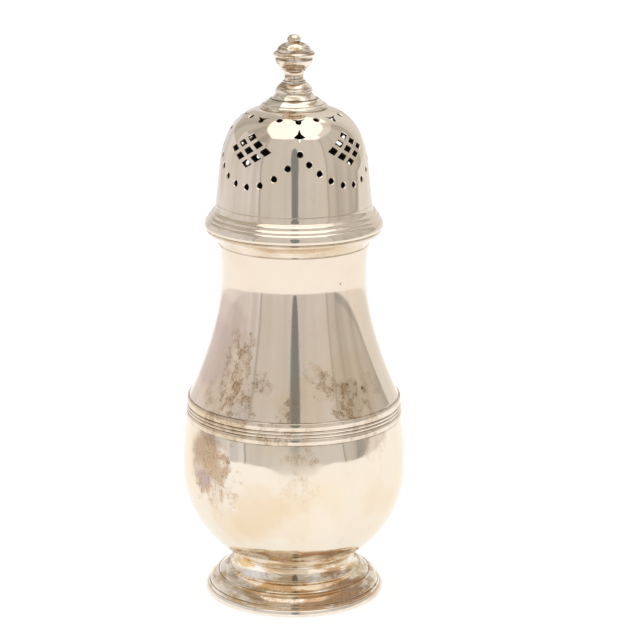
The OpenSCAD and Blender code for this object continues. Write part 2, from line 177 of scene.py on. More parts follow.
class Workshop:
    """Hand operations that make and finish a mesh piece."""

    @staticmethod
    def single_point(name: str) -> bpy.types.Object:
        """Adds an object with one vertex at the origin, in edit mode, with the vertex selected.

        Args:
            name: Name of the new object.

        Returns:
            The object.
        """
        bpy.ops.object.select_all(action="DESELECT")
        bpy.ops.mesh.primitive_circle_add(vertices=3, radius=MM)
        piece = bpy.context.active_object
        piece.name = piece.data.name = name
        bpy.ops.object.mode_set(mode="EDIT")
        bpy.ops.mesh.select_all(action="SELECT")
        bpy.ops.mesh.merge(type="CENTER")
        return piece

    @staticmethod
    def draw_section(outline: Outline, close: bool) -> None:
        """Moves the selected vertex to the start of an outline and extrudes it along the rest.

        Args:
            outline: Radius and height of each point.
            close: Whether the last point is joined to the first.
        """
        first = outline[0]
        bpy.ops.transform.translate(value=(first[0] * MM, 0.0, first[1] * MM))
        route = outline + [first] if close else outline
        for here, after in zip(route, route[1:]):
            step = ((after[0] - here[0]) * MM, 0.0, (after[1] - here[1]) * MM)
            bpy.ops.mesh.extrude_vertices_move(TRANSFORM_OT_translate={"value": step})

    @staticmethod
    def turn(name: str, outline: Outline, steps: int = SPIN_STEPS) -> bpy.types.Object:
        """Turns an outline about Z, as on a lathe.

        Args:
            name: Name of the new piece.
            outline: Points round the section; one that starts and ends on the axis stays open there.
            steps: Steps round the axis.

        Returns:
            The piece, smooth, with its normals outwards.
        """
        on_axis = outline[0][0] == 0.0 and outline[-1][0] == 0.0
        piece = Workshop.single_point(name)
        Workshop.draw_section(outline, close=not on_axis)
        bpy.ops.mesh.select_all(action="SELECT")
        bpy.ops.mesh.spin(steps=steps, angle=math.tau, center=(0, 0, 0), axis=(0, 0, 1))
        Workshop.close_up()
        return piece

    @staticmethod
    def close_up() -> None:
        """Merges doubles, turns the normals outwards, leaves edit mode and smooths the active piece."""
        bpy.ops.mesh.select_all(action="SELECT")
        bpy.ops.mesh.remove_doubles(threshold=MERGE_GAP)
        bpy.ops.mesh.normals_make_consistent(inside=False)
        bpy.ops.object.mode_set(mode="OBJECT")
        bpy.ops.object.shade_smooth_by_angle(angle=math.radians(SMOOTH_ANGLE))

    @staticmethod
    def pick(piece: bpy.types.Object) -> None:
        """Makes a piece the only selected and the active object.

        Args:
            piece: The piece.
        """
        bpy.ops.object.select_all(action="DESELECT")
        piece.select_set(True)
        bpy.context.view_layer.objects.active = piece

    @staticmethod
    def mark_grooves(piece: bpy.types.Object, grooves: Outline, width: float, seams: Sequence[Point] = ()) -> None:
        """Writes how close each vertex is to a groove or seam to the piece's own attribute.

        Args:
            piece: A turned piece.
            grooves: Groove points of its section.
            width: Distance at which the dirt of a groove ends.
            seams: Points where a neighbour meets it, which hold less dirt.
        """
        mesh = piece.data
        place = np.zeros(len(mesh.vertices) * 3, np.float32)
        mesh.vertices.foreach_get("co", place)
        place = place.reshape(-1, 3) / MM
        section = np.stack([np.hypot(place[:, 0], place[:, 1]), place[:, 2]], axis=1)
        near = np.zeros(len(section))
        marks = [(groove, 1.0) for groove in grooves] + [(seam, SEAM_SHARE) for seam in seams]
        for (radius, height), full in marks:
            gap = np.hypot(section[:, 0] - radius, section[:, 1] - height)
            near = np.maximum(near, full - gap / width)
        attribute = mesh.attributes.new("groove", "FLOAT", "POINT")
        attribute.data.foreach_set("value", near.clip(0.0, 1.0).astype(np.float32))


class NodeBench:
    """Short calls for building a material's node tree."""

    def __init__(self, material: bpy.types.Material) -> None:
        """Starts from an empty tree with Object coordinates.

        Args:
            material: The material to build.
        """
        material.use_nodes = True
        self.tree = material.node_tree
        self.tree.nodes.clear()
        self.place = self.node("ShaderNodeTexCoord").outputs["Object"]

    def node(self, kind: str) -> bpy.types.Node:
        """Adds a node of a kind."""
        return self.tree.nodes.new(kind)

    def feed(self, socket: Socket, value: object) -> None:
        """Links another socket to this one, or sets its value.

        Args:
            socket: Input socket.
            value: Output socket, number or colour.
        """
        if isinstance(value, bpy.types.NodeSocket):
            self.tree.links.new(value, socket)
        else:
            socket.default_value = value

    def stretched(self, scale: Sequence[float], lean: float = 0.0) -> Socket:
        """Object coordinates stretched along each axis, or along axes that lean to one side.

        Args:
            scale: Stretch along each axis.
            lean: How far the upright axis leans.

        Returns:
            The stretched coordinates.
        """
        mapping = self.node("ShaderNodeMapping")
        mapping.vector_type = "TEXTURE"
        self.feed(mapping.inputs["Vector"], self.place)
        mapping.inputs["Rotation"].default_value = (0.0, math.radians(lean), 0.0)
        mapping.inputs["Scale"].default_value = [1.0 / value for value in scale]
        return mapping.outputs["Vector"]

    def noise(self, scale: float, detail: float = 3.0, rough: float = 0.55, twist: float = 0.0,
              place: Optional[Socket] = None) -> Socket:
        """A noise pattern.

        Args:
            scale: Cells per metre.
            detail: Finer layers.
            rough: Share of the finer layers.
            twist: Distortion.
            place: Coordinates, or the plain Object coordinates.

        Returns:
            The noise, about 0.5 in the middle.
        """
        texture = self.node("ShaderNodeTexNoise")
        self.feed(texture.inputs["Vector"], self.place if place is None else place)
        for name, value in (("Scale", scale), ("Detail", detail), ("Roughness", rough), ("Distortion", twist)):
            texture.inputs[name].default_value = value
        return texture.outputs["Fac"]

    def band(self, value: Socket, low: float, high: float, bottom: float = 0.0, top: float = 1.0) -> Socket:
        """Maps a value smoothly from one range to another, and holds it at the ends.

        Args:
            value: The value.
            low: Value that gives bottom.
            high: Value that gives top.
            bottom: Result at low.
            top: Result at high.

        Returns:
            The mapped value.
        """
        ranged = self.node("ShaderNodeMapRange")
        ranged.interpolation_type = "SMOOTHSTEP"
        self.feed(ranged.inputs["Value"], value)
        for name, number in (("From Min", low), ("From Max", high), ("To Min", bottom), ("To Max", top)):
            ranged.inputs[name].default_value = number
        return ranged.outputs["Result"]

    def math(self, operation: str, first: object, second: object) -> Socket:
        """Combines two values.

        Args:
            operation: Name of the operation.
            first: Socket or number.
            second: Socket or number.

        Returns:
            The result, held between 0 and 1.
        """
        sum_node = self.node("ShaderNodeMath")
        sum_node.operation = operation
        sum_node.use_clamp = True
        self.feed(sum_node.inputs[0], first)
        self.feed(sum_node.inputs[1], second)
        return sum_node.outputs["Value"]

    def tint(self, share: object, first: object, second: object) -> Socket:
        """Mixes two colours.

        Args:
            share: Share of the second colour.
            first: Socket or colour.
            second: Socket or colour.

        Returns:
            The mixed colour.
        """
        mix = self.node("ShaderNodeMix")
        mix.data_type = "RGBA"
        sockets = {s.identifier: s for s in mix.inputs}
        for name, value in (("Factor_Float", share), ("A_Color", first), ("B_Color", second)):
            self.feed(sockets[name], (*value, 1.0) if isinstance(value, tuple) else value)
        return next(s for s in mix.outputs if s.identifier == "Result_Color")

    def closeness(self, centre: Point3, radius: float) -> Socket:
        """How close a point is to a centre.

        Args:
            centre: The centre.
            radius: Distance at which the result is 0.

        Returns:
            The closeness, 1 at the centre.
        """
        apart = self.node("ShaderNodeVectorMath")
        apart.operation = "DISTANCE"
        self.feed(apart.inputs[0], self.place)
        apart.inputs[1].default_value = [c * MM for c in centre]
        return self.band(apart.outputs["Value"], 0.0, radius * MM, 1.0, 0.0)

    def attribute(self, name: str) -> Socket:
        """A float attribute of the piece.

        Args:
            name: Name of the attribute.

        Returns:
            Its value.
        """
        reader = self.node("ShaderNodeAttribute")
        reader.attribute_name = name
        return reader.outputs["Fac"]

    def surface(self, shader: Socket) -> None:
        """Ends the tree with a shader as the surface."""
        out = self.node("ShaderNodeOutputMaterial")
        self.feed(out.inputs["Surface"], shader)


class Slot(Enum):
    """The record's material slots."""

    BODY = "body_silver"
    COVER = "cover_silver"
    FINIAL = "finial_silver"
    FOOT = "foot_silver"
    PLAIN = "plain_silver"


class Rider(Enum):
    """The bodies that pieces ride on."""

    BODY = "body"
    COVER = "cover"


@dataclass(frozen=True)
class Patch:
    """A marked place on the silver: stains, pits and dull places, and also a few painted reflections and
    highlights.

    Attributes:
        centre: Middle of the patch on the surface.
        radius: Distance at which it has faded.
        strength: How strongly it shows, 0 to 1.
        colour: Colour of the stain, and of each painted reflection and highlight.
    """

    centre: Point3
    radius: float
    strength: float
    colour: Colour = (0.27, 0.155, 0.07)


@dataclass(frozen=True)
class Tarnish:
    """How tarnish breaks up on the silver. A band gives two values, and may give the share at each.

    Attributes:
        spots: Broad spots per metre.
        clumps: Clumps per metre.
        clump_streak: How much shorter the clumps are upright than round the piece; below 1 they are taller.
        grain: Grains per metre along each axis.
        hatch: Hatch marks per metre along each axis.
        hatch_lean: Lean of the hatch marks.
        polish: Polish lines per metre along each axis.
        core_band: Where a clump's core starts and is full.
        grain_band: Where a grain starts and is full.
        hatch_band: Where a hatch mark starts and is full.
        spread_band: Where the tarnish all over starts and is full.
        dirt_band: Where the dirt of a groove is thin and where it is full.
        haze_band: Where the film starts to dull the polish and where it ends.
        groove_band: Closeness to a groove at which its dirt starts and is full.
        pit_band: Closeness to a pit at which it starts and is full.
        edge_band: Noise values over which a patch's edge is ragged.
        fade_band: Closeness to a patch's middle at which it starts and is full.
        edge_end: Closeness below which a patch ends in any case.
        patch_ragged: How ragged a patch is.
        bloom_and_sheen_ragged: How ragged a bloom of tarnish and a painted sheen are.
        veil: Share of the honey veil under a patch.
        stain_rough: Roughness that a stain adds.
        dirt_rough: Roughness that dirt adds.
        polish_depth: Depth and strength of the polish lines.
        etch_depth: Depth and strength of the etching under a stain.
    """

    spots: float = 150.0
    clumps: float = 430.0
    clump_streak: float = 0.7
    grain: Point3 = (3400.0, 3400.0, 2600.0)
    hatch: Point3 = (2300.0, 2300.0, 1100.0)
    hatch_lean: float = 38.0
    polish: Point3 = (2200.0, 2200.0, 160.0)
    core_band: tuple[float, ...] = (0.43, 0.60, 0.20, 1.0)
    grain_band: tuple[float, ...] = (0.40, 0.54)
    hatch_band: tuple[float, ...] = (0.40, 0.58, 0.25, 1.0)
    spread_band: tuple[float, ...] = (0.50, 0.70)
    dirt_band: tuple[float, ...] = (0.34, 0.60, 0.25, 1.0)
    haze_band: Point = (0.35, 0.70)
    groove_band: Point = (0.25, 0.85)
    pit_band: Point = (0.2, 0.7)
    edge_band: Point = (0.30, 0.70)
    fade_band: Point = (0.22, 0.62)
    edge_end: float = 0.25
    patch_ragged: float = 0.55
    bloom_and_sheen_ragged: float = 0.45
    veil: float = 0.62
    stain_rough: float = 0.20
    dirt_rough: float = 0.35
    polish_depth: Point = (0.004, 0.25)
    etch_depth: Point = (0.02, 0.4)


TARNISH = Tarnish()


@dataclass(frozen=True)
class SilverFinish:
    """Silver plate with its film, stains, groove dirt and polish, and a few painted reflections and highlights.

    Attributes:
        name: Name of the material.
        clean: Colour where it is polished.
        film: Colour under a thin yellow film.
        cloud_scale: Clouds of the film per metre.
        streak: How much shorter the clouds and spots are upright than round the piece.
        film_range: Cloud values at which the film starts and is full.
        stain: Colour of the tarnish all over.
        mottle: Share of that tarnish.
        dirt: Colour left in the grooves.
        gloss: Roughness where it is polished.
        haze: Roughness that a film adds.
        wave: Depth of the sheet's waviness.
        wave_scale: Waves per metre.
        patches: Speckled patches of tarnish.
        blooms_and_painted_sheens: Broad soft blooms of tarnish, and broad painted reflections and highlights.
        pits: Small dark pits.
        dulls: Places where the polish is dull.
    """

    name: str
    clean: Colour
    film: Colour
    cloud_scale: float = 26.0
    streak: float = 1.0
    film_range: Point = (0.38, 0.64)
    stain: Colour = (0.42, 0.28, 0.15)
    mottle: float = 0.12
    dirt: Colour = (0.15, 0.10, 0.065)
    gloss: float = 0.07
    haze: float = 0.05
    wave: float = 0.08
    wave_scale: float = 34.0
    patches: tuple[Patch, ...] = ()
    blooms_and_painted_sheens: tuple[Patch, ...] = ()
    pits: tuple[Patch, ...] = ()
    dulls: tuple[Patch, ...] = ()

    def material(self) -> bpy.types.Material:
        """Builds the material.

        Returns:
            The node material.
        """
        made = bpy.data.materials.new(self.name)
        bench, break_up = NodeBench(made), TARNISH
        streaked = bench.stretched((1.0, 1.0, self.streak))
        clouds = bench.noise(self.cloud_scale, detail=4.0, twist=0.4, place=streaked)
        spots = bench.noise(break_up.spots, detail=5.0, rough=0.62, twist=0.5, place=streaked)
        grain = bench.noise(1.0, detail=4.0, rough=0.68, place=bench.stretched(break_up.grain))
        hatch = bench.noise(1.0, detail=2.0, place=bench.stretched(break_up.hatch, break_up.hatch_lean))
        tall = bench.stretched((1.0, 1.0, break_up.clump_streak))
        clumps = bench.noise(break_up.clumps, detail=3.0, rough=0.6, place=tall)
        core = bench.band(clumps, *break_up.core_band)
        grains = bench.band(grain, *break_up.grain_band)
        speck = bench.math("MULTIPLY", grains, bench.band(hatch, *break_up.hatch_band))
        speck = bench.math("MULTIPLY", speck, core)
        colour = bench.tint(bench.band(clouds, *self.film_range), self.clean, self.film)
        # Blooms of tarnish, and painted sheens: the pale and rose ones are painted reflections and highlights
        for bloom_and_sheen in self.blooms_and_painted_sheens:
            colour = bench.tint(self.mask(bench, bloom_and_sheen, clouds, break_up.bloom_and_sheen_ragged), colour, bloom_and_sheen.colour)
        spread = bench.math("MULTIPLY", bench.band(spots, *break_up.spread_band), self.mottle)
        stains = bench.math("MULTIPLY", spread, speck)
        colour = bench.tint(stains, colour, self.stain)
        for patch in self.patches:
            soft = self.mask(bench, patch, spots, break_up.patch_ragged)
            veil = bench.math("MULTIPLY", soft, bench.math("MULTIPLY", core, break_up.veil))
            colour = bench.tint(veil, colour, HONEY)
            share = bench.math("MULTIPLY", soft, speck)
            colour = bench.tint(share, colour, patch.colour)
            stains = bench.math("MAXIMUM", stains, share)
        for pit in self.pits:
            near = bench.closeness(pit.centre, pit.radius)
            share = bench.band(near, *break_up.pit_band, 0.0, pit.strength)
            colour = bench.tint(share, colour, pit.colour)
            stains = bench.math("MAXIMUM", stains, share)
        groove = bench.band(bench.attribute("groove"), *break_up.groove_band)
        dirt = bench.math("MULTIPLY", groove, bench.band(spots, *break_up.dirt_band))
        colour = bench.tint(dirt, colour, self.dirt)
        rough = bench.band(clouds, *break_up.haze_band, self.gloss, self.gloss + self.haze)
        for cover, added in ((stains, break_up.stain_rough), (dirt, break_up.dirt_rough)):
            rough = bench.math("ADD", rough, bench.math("MULTIPLY", cover, added))
        for dull in self.dulls:
            near = bench.closeness(dull.centre, dull.radius)
            rough = bench.math("ADD", rough, bench.band(near, 0.0, 1.0, 0.0, dull.strength))
        shader = bench.node("ShaderNodeBsdfPrincipled")
        shader.inputs["Metallic"].default_value = 1.0
        bench.feed(shader.inputs["Base Color"], colour)
        bench.feed(shader.inputs["Roughness"], rough)
        bench.feed(shader.inputs["Normal"], self.relief(bench, stains))
        bench.surface(shader.outputs["BSDF"])
        return made

    def mask(self, bench: NodeBench, patch: Patch, noise: Socket, ragged: float) -> Socket:
        """Where a patch covers the silver, with ragged edges.

        Args:
            bench: The material's bench.
            patch: The patch.
            noise: Noise that makes the edge ragged.
            ragged: Strength of that noise.

        Returns:
            The share covered, 0 to 1.
        """
        near = bench.closeness(patch.centre, patch.radius)
        lift = bench.band(noise, *TARNISH.edge_band, -ragged, ragged)
        share = bench.band(bench.math("ADD", near, lift), *TARNISH.fade_band, 0.0, patch.strength)
        return bench.math("MULTIPLY", share, bench.band(near, 0.0, TARNISH.edge_end))

    def relief(self, bench: NodeBench, stains: Socket) -> Socket:
        """Hand-raised waviness of the sheet, fine polish lines and etched stains.

        Args:
            bench: The material's bench.
            stains: Share of tarnish.

        Returns:
            The bumped normal.
        """
        polish = bench.noise(1.0, place=bench.stretched(TARNISH.polish))
        normal: Optional[Socket] = None
        for height, depth, strength, inward in (
            (bench.noise(self.wave_scale, detail=2.2), self.wave, 1.0, False),
            (polish, *TARNISH.polish_depth, False),
            (stains, *TARNISH.etch_depth, True),
        ):
            bump = bench.node("ShaderNodeBump")
            bump.invert = inward
            bump.inputs["Strength"].default_value = strength
            bump.inputs["Distance"].default_value = depth * MM
            bench.feed(bump.inputs["Height"], height)
            if normal is not None:
                bench.feed(bump.inputs["Normal"], normal)
            normal = bump.outputs["Normal"]
        return normal


# Colours of the film and the tarnish; rose, cream, pearl and oyster are colours of painted reflections and a
# painted highlight
HONEY = (0.68, 0.50, 0.32)
ORANGE = (0.62, 0.41, 0.22)
# Painted reflection: darker, pinker left side of the neck
ROSE_REFLECTION = (0.68, 0.52, 0.45)
VIOLET = (0.45, 0.33, 0.35)
AMBER = (0.84, 0.66, 0.45)
RUST = (0.36, 0.17, 0.08)
UMBER = (0.34, 0.22, 0.15)
OLIVE = (0.23, 0.18, 0.11)
PIT = (0.12, 0.07, 0.03)
SEPIA = (0.49, 0.345, 0.235)
FAWN = (0.57, 0.42, 0.29)
# Painted reflection of the floor on the lower bowl
CREAM_FLOOR_REFLECTION = (0.93, 0.84, 0.73)
GINGER = (0.42, 0.25, 0.11)
COPPER = (0.50, 0.29, 0.16)
BRONZE = (0.52, 0.31, 0.17)
GOLD = (0.68, 0.46, 0.25)
STRAW = (0.90, 0.79, 0.64)
# Painted reflection on the left of the foot's hollow
PEARL_REFLECTION = (0.93, 0.87, 0.80)
# Painted highlight on the right of the foot's hollow
OYSTER_HIGHLIGHT = (0.93, 0.86, 0.78)
MARIGOLD = (0.80, 0.55, 0.27)
BARK = (0.48, 0.35, 0.22)

NECK_FINISH = SilverFinish(
    name="neck_silver",
    clean=(0.865, 0.75, 0.625),
    film=(0.84, 0.71, 0.565),
    patches=(
        Patch((-16.5, -20.5, 86.5), 8.0, 0.80),
        Patch((-18.5, -21.5, 79.5), 9.5, 0.85),
        Patch((-17.5, -26.0, 69.5), 10.5, 1.0),
        Patch((-25.0, -18.5, 70.5), 7.5, 0.50),
        Patch((-10.8, -27.4, 75.5), 6.5, 0.75, OLIVE),
        Patch((-2.5, -31.5, 68.5), 6.0, 0.70),
        Patch((4.9, -27.0, 80.1), 6.5, 0.60, ORANGE),
        Patch((11.5, -27.0, 75.0), 9.0, 0.80, OLIVE),
        Patch((17.3, -26.5, 69.4), 11.5, 1.0),
        Patch((23.5, -17.5, 75.0), 8.0, 0.40),
    ),
    blooms_and_painted_sheens=(
        # Painted reflection: rose bloom on the neck's upper left side
        Patch((-20.5, -12.5, 93.0), 15.0, 0.45, ROSE_REFLECTION),
        Patch((-20.0, -20.0, 74.0), 20.0, 0.32, AMBER),
        Patch((17.0, -24.0, 73.0), 20.0, 0.45, AMBER),
        Patch((3.0, -31.0, 69.0), 17.0, 0.45, AMBER),
        # Painted reflection: rose bloom darkening the neck's left edge
        Patch((-25.0, -9.0, 82.0), 15.0, 0.60, ROSE_REFLECTION),
    ),
    pits=(Patch((14.5, -18.1, 105.7), 0.9, 0.8, PIT), Patch((21.1, -21.3, 73.3), 1.0, 0.8, PIT)),
)
BOWL_FINISH = SilverFinish(
    name="bowl_silver",
    clean=(0.88, 0.785, 0.66),
    film=(0.885, 0.755, 0.575),
    gloss=0.05,
    haze=0.06,
    wave=0.60,
    wave_scale=48.0,
    patches=(
        Patch((-26.2, -23.4, 51.5), 12.5, 0.95, UMBER),
        Patch((-25.4, -24.6, 44.5), 14.5, 0.90, UMBER),
        Patch((-24.5, -25.0, 37.0), 9.0, 0.35, ORANGE),
        Patch((1.8, -35.5, 44.8), 9.0, 0.22, ORANGE),
        Patch((2.5, -35.0, 53.5), 8.0, 0.55),
        Patch((25.0, -24.0, 55.5), 9.0, 0.35, ORANGE),
    ),
    blooms_and_painted_sheens=(
        Patch((-26.2, -23.4, 51.0), 14.5, 0.95, SEPIA),
        Patch((-23.6, -26.2, 47.0), 12.5, 0.85, FAWN),
        Patch((-27.4, -22.5, 43.8), 8.5, 0.80, VIOLET),
        Patch((-12.1, -33.0, 36.8), 24.0, 0.75, AMBER),
        Patch((-21.0, -27.0, 31.0), 16.0, 0.45, AMBER),
        Patch((26.3, -23.5, 37.4), 12.0, 0.25, AMBER),
        # Painted reflection: cream bloom brightening the front of the lower bowl, where the floor is reflected
        Patch((2.0, -30.0, 22.0), 26.0, 0.50, CREAM_FLOOR_REFLECTION),
    ),
    dulls=(Patch((1.0, -35.0, 54.0), 13.0, 0.17),),
)
MOULDING_FINISH = SilverFinish(
    name="moulding_silver", clean=(0.88, 0.77, 0.64), film=(0.74, 0.59, 0.42), cloud_scale=60.0, mottle=0.6,
    dirt=(0.12, 0.08, 0.05),
    patches=(Patch((-22.0, -27.0, 61.5), 15.0, 0.90, UMBER), Patch((-6.0, -34.0, 61.5), 9.0, 0.60, UMBER),
             Patch((21.0, -27.5, 61.0), 11.0, 0.50, UMBER)))
COVER_FINISH = SilverFinish(
    name="cover_silver", clean=(0.88, 0.785, 0.67), film=(0.84, 0.725, 0.58), gloss=0.06, haze=0.04, mottle=0.12,
    dirt=(0.50, 0.41, 0.31))
FINIAL_FINISH = SilverFinish(
    name="finial_silver", clean=(0.93, 0.83, 0.69), film=(0.43, 0.30, 0.18), cloud_scale=260.0, streak=4.5,
    film_range=(0.46, 0.62), gloss=0.07, haze=0.08, mottle=0.5, dirt=(0.20, 0.13, 0.07),
    patches=(Patch((0.0, -4.8, 170.7), 4.6, 0.90, UMBER), Patch((0.0, -3.2, 168.6), 3.6, 0.85, UMBER)))
BOSS_FINISH = SilverFinish(
    name="boss_silver", clean=(0.93, 0.84, 0.71), film=(0.50, 0.38, 0.25), cloud_scale=210.0, streak=4.0,
    film_range=(0.47, 0.66), gloss=0.07, haze=0.06, mottle=0.7, dirt=(0.17, 0.115, 0.07))
BASE_FINISH = SilverFinish(
    name="base_silver", clean=(0.93, 0.84, 0.72), film=(0.78, 0.63, 0.47), cloud_scale=60.0, streak=2.0,
    film_range=(0.50, 0.72), mottle=0.4, dirt=(0.30, 0.20, 0.12))
FOOT_FINISH = SilverFinish(
    name="foot_silver",
    clean=(0.92, 0.82, 0.68),
    film=(0.64, 0.46, 0.26),
    cloud_scale=105.0,
    streak=4.5,
    film_range=(0.42, 0.58),
    stain=RUST,
    dirt=(0.24, 0.16, 0.09),
    gloss=0.055,
    haze=0.05,
    mottle=0.9,
    patches=(
        Patch((16.0, -21.0, 4.2), 13.0, 1.0, RUST),
        Patch((23.5, -12.5, 4.2), 10.0, 0.85, RUST),
        Patch((-4.0, -26.0, 4.6), 12.0, 0.45, RUST),
        Patch((-17.0, -19.5, 4.8), 10.0, 0.75, GINGER),
        Patch((13.8, -16.0, 9.0), 5.5, 0.85, RUST),
    ),
    blooms_and_painted_sheens=(
        Patch((16.0, -20.0, 4.5), 15.0, 0.75, COPPER),
        Patch((7.5, -25.5, 3.8), 9.5, 0.85, BRONZE),
        Patch((-6.0, -25.0, 4.8), 12.0, 0.50, GOLD),
        Patch((-21.5, -14.5, 4.6), 7.0, 0.70, STRAW),
        # Painted reflection: pale bluish bloom on the left of the hollow
        Patch((-13.2, -15.0, 9.2), 7.5, 1.0, PEARL_REFLECTION),
        # Painted highlight: small pale bloom on the right of the hollow
        Patch((7.0, -20.0, 8.6), 5.0, 0.9, OYSTER_HIGHLIGHT),
        Patch((-15.0, -12.0, 12.8), 5.5, 0.9, MARIGOLD),
        Patch((0.0, -18.6, 11.3), 9.5, 0.55, BARK),
    ),
)
# Dark, dull finish of the inside, the hollow under the foot, the holes' walls and the fixing: unpolished tarnish,
# and painted shade where little light reaches
DULL_TARNISH_AND_SHADE_FINISH = SilverFinish(
    name="dull_silver", clean=(0.34, 0.27, 0.20), film=(0.20, 0.15, 0.11), gloss=0.42, haze=0.15, mottle=0.6)


@lru_cache(maxsize=None)
def bottom(node: str) -> float:
    """Lowest height of a CAD node."""
    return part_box(node)[0].z / MM


@lru_cache(maxsize=None)
def top(node: str) -> float:
    """Highest height of a CAD node."""
    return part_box(node)[1].z / MM


@dataclass
class TurnedPiece:
    """One turned piece that stands for a CAD node.

    Attributes:
        name: Name of the piece.
        node: CAD node that it stands for.
        rider: Body that it rides on.
        slot: The record's slot of its finish; not used.
        outline: Points round its section.
        groove_width: How far the dirt of a groove reaches.
        steps: Steps round the axis.
        seams: Points of the outline where a neighbour meets it.
        floor_r: Radius of an inside floor, which also takes the dark finish of tarnish and painted shade.
    """

    name: str
    node: str
    rider: Rider
    slot: Slot
    outline: Outline
    groove_width: float = 0.44
    steps: int = SPIN_STEPS
    seams: Outline = field(default_factory=list)
    floor_r: float = 0.0

    def build(self, finish: bpy.types.Material, tarnish_and_shade_lining: bpy.types.Material) -> bpy.types.Object:
        """Turns the piece and finishes it.

        Args:
            finish: Material of the outside.
            tarnish_and_shade_lining: Dark material of the faces that look towards the axis or the table: tarnish,
                and painted shade.

        Returns:
            The piece.
        """
        piece = Workshop.turn(self.name, self.outline, self.steps)
        Workshop.mark_grooves(piece, grooves_of(self.outline), self.groove_width, self.seams)
        piece.data.materials.append(finish)
        piece.data.materials.append(tarnish_and_shade_lining)
        # Faces that look towards the axis, and the inside floor, take the dark finish: tarnish plus painted shade
        for face in piece.data.polygons:
            centre, normal = face.center, face.normal
            spread = math.hypot(centre.x, centre.y)
            inward = -(normal.x * centre.x + normal.y * centre.y) / max(spread, MERGE_GAP)
            floor = normal.z > FLOOR_FACING and spread < self.floor_r * MM
            face.material_index = 1 if floor or inward > INWARD_FACING else 0
        self.join_frame(piece)
        return piece

    def join_frame(self, piece: bpy.types.Object) -> None:
        """Puts the piece on its body in place of its CAD node.

        Args:
            piece: The finished piece.
        """
        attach(piece, self.rider.value)
        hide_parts(self.node)
        log.info("%s: %d faces, stands for %s", piece.name, len(piece.data.polygons), self.node)


@dataclass(frozen=True)
class BowlCurve:
    """The bowl's outside: an ellipse below its widest place and a parabola above it.

    Attributes:
        radius: Radius at the widest place.
        belly: Height of the widest place.
        depth: Depth of the ellipse.
        rise: Height from the widest place to the girdle.
        shoulder: Radius under the girdle.
    """

    radius: float = 35.6
    belly: float = 41.8
    depth: float = 33.9
    rise: float = 16.7
    shoulder: float = 34.05

    def below(self, height: float) -> float:
        """Radius at a height below the widest place."""
        return self.radius * math.sqrt(max(0.0, 1.0 - ((self.belly - height) / self.depth) ** 2))

    def above(self, height: float) -> float:
        """Radius at a height above the widest place."""
        return self.radius - (self.radius - self.shoulder) * ((height - self.belly) / self.rise) ** 2


@dataclass
class Foot:
    """The moulded foot: a base wire, the spreading foot and the collet under the bowl.

    Attributes:
        bowl: The bowl's curve, which the foot holds.
        diameter: Width of the base wire, before its edges are set in.
        sheet: Thickness of the spreading foot.
        room: Gap between the foot's upper edge and the bowl.
        wire_w: Width of the base wire.
        wire_step: How far the base wire's top is set in.
        wire_ease: How far the base wire's low edge is set in.
        wire_swell: How far the base wire's face swells.
        reed: Run and rise of the reed above the base wire.
        torus: Run and rise of the torus above the reed.
        swells: How far the reed, the torus and the ledge above it swell.
        scotia_w: Width of the hollow under the collet.
        scotia_h: Height of that hollow.
        collet_ease: How far the collet stands out from the foot.
        collet_swell: How far the collet swells.
    """

    bowl: BowlCurve
    diameter: float = 57.0
    sheet: float = 0.9
    room: float = 0.4
    wire_w: float = 1.9
    wire_step: float = 0.7
    wire_ease: float = 0.15
    wire_swell: float = 0.5
    reed: Point = (-0.5, 1.1)
    torus: Point = (-3.0, 2.9)
    swells: tuple[float, float, float] = (0.2, 0.5, 0.3)
    scotia_w: float = 2.1
    scotia_h: float = 4.5
    collet_ease: float = 0.05
    collet_swell: float = 0.25

    @property
    def upper_radius(self) -> float:
        """Outer radius of the foot's upper edge."""
        return self.bowl.below(top("foot")) + self.room + self.sheet

    def wire_outline(self) -> Outline:
        """Section of the base wire.

        Returns:
            The points, round the section.
        """
        radius, height = self.diameter / 2, top("foot_rim")
        inner = radius - self.wire_w
        face = bead((radius - self.wire_ease, 0.0), (radius - self.wire_step, height), self.wire_swell)
        return [(inner, 0.0), *face, (inner, height)]

    def foot_outline(self) -> Outline:
        """Section of the spreading foot.

        Returns:
            The points, round the section.
        """
        low, high = bottom("foot"), top("foot")
        start = (self.diameter / 2 - self.wire_step, low)
        reed_end = (start[0] + self.reed[0], start[1] + self.reed[1])
        torus_end = (reed_end[0] + self.torus[0], reed_end[1] + self.torus[1])
        centre = (self.upper_radius + self.scotia_w, high)
        hollow = arc(centre, self.scotia_w, self.scotia_h, 270, 180, SHORT_STEPS)
        under = arc(centre, self.scotia_w + self.sheet, self.scotia_h + self.sheet, 180, 270, SHORT_STEPS)
        return [*bead(start, reed_end, self.swells[0]), *bead(reed_end, torus_end, self.swells[1])[1:],
                *bead(torus_end, hollow[0], self.swells[2])[1:], *hollow[1:], *under,
                (self.diameter / 2 - self.wire_w, low)]

    def collet_outline(self) -> Outline:
        """Section of the collet.

        Returns:
            The points, round the section.
        """
        low, high = bottom("foot_collet"), top("foot_collet")
        face = bead((self.upper_radius + self.collet_ease, low), (self.bowl.below(high), high), self.collet_swell)
        return [(self.bowl.below(low), low), *face]

    def build(self, finish: bpy.types.Material, wire: bpy.types.Material, tarnish_and_shade_lining: bpy.types.Material) -> None:
        """Builds and dresses the foot's pieces.

        Args:
            finish: Material of the foot's outside.
            wire: Material of the base wire.
            tarnish_and_shade_lining: Dark material of the hollow below: tarnish, and painted shade.
        """
        seam = [(self.diameter / 2 - self.wire_step, top("foot_rim"))]
        for name, node, outline, seams, dress in (
            ("base_wire", "foot_rim", self.wire_outline(), seam, wire),
            ("spreading_foot", "foot", self.foot_outline(), seam, finish),
            ("collet", "foot_collet", self.collet_outline(), [(self.upper_radius, top("foot"))], finish),
        ):
            TurnedPiece(name, node, Rider.BODY, Slot.FOOT, outline, seams=seams).build(dress, tarnish_and_shade_lining)


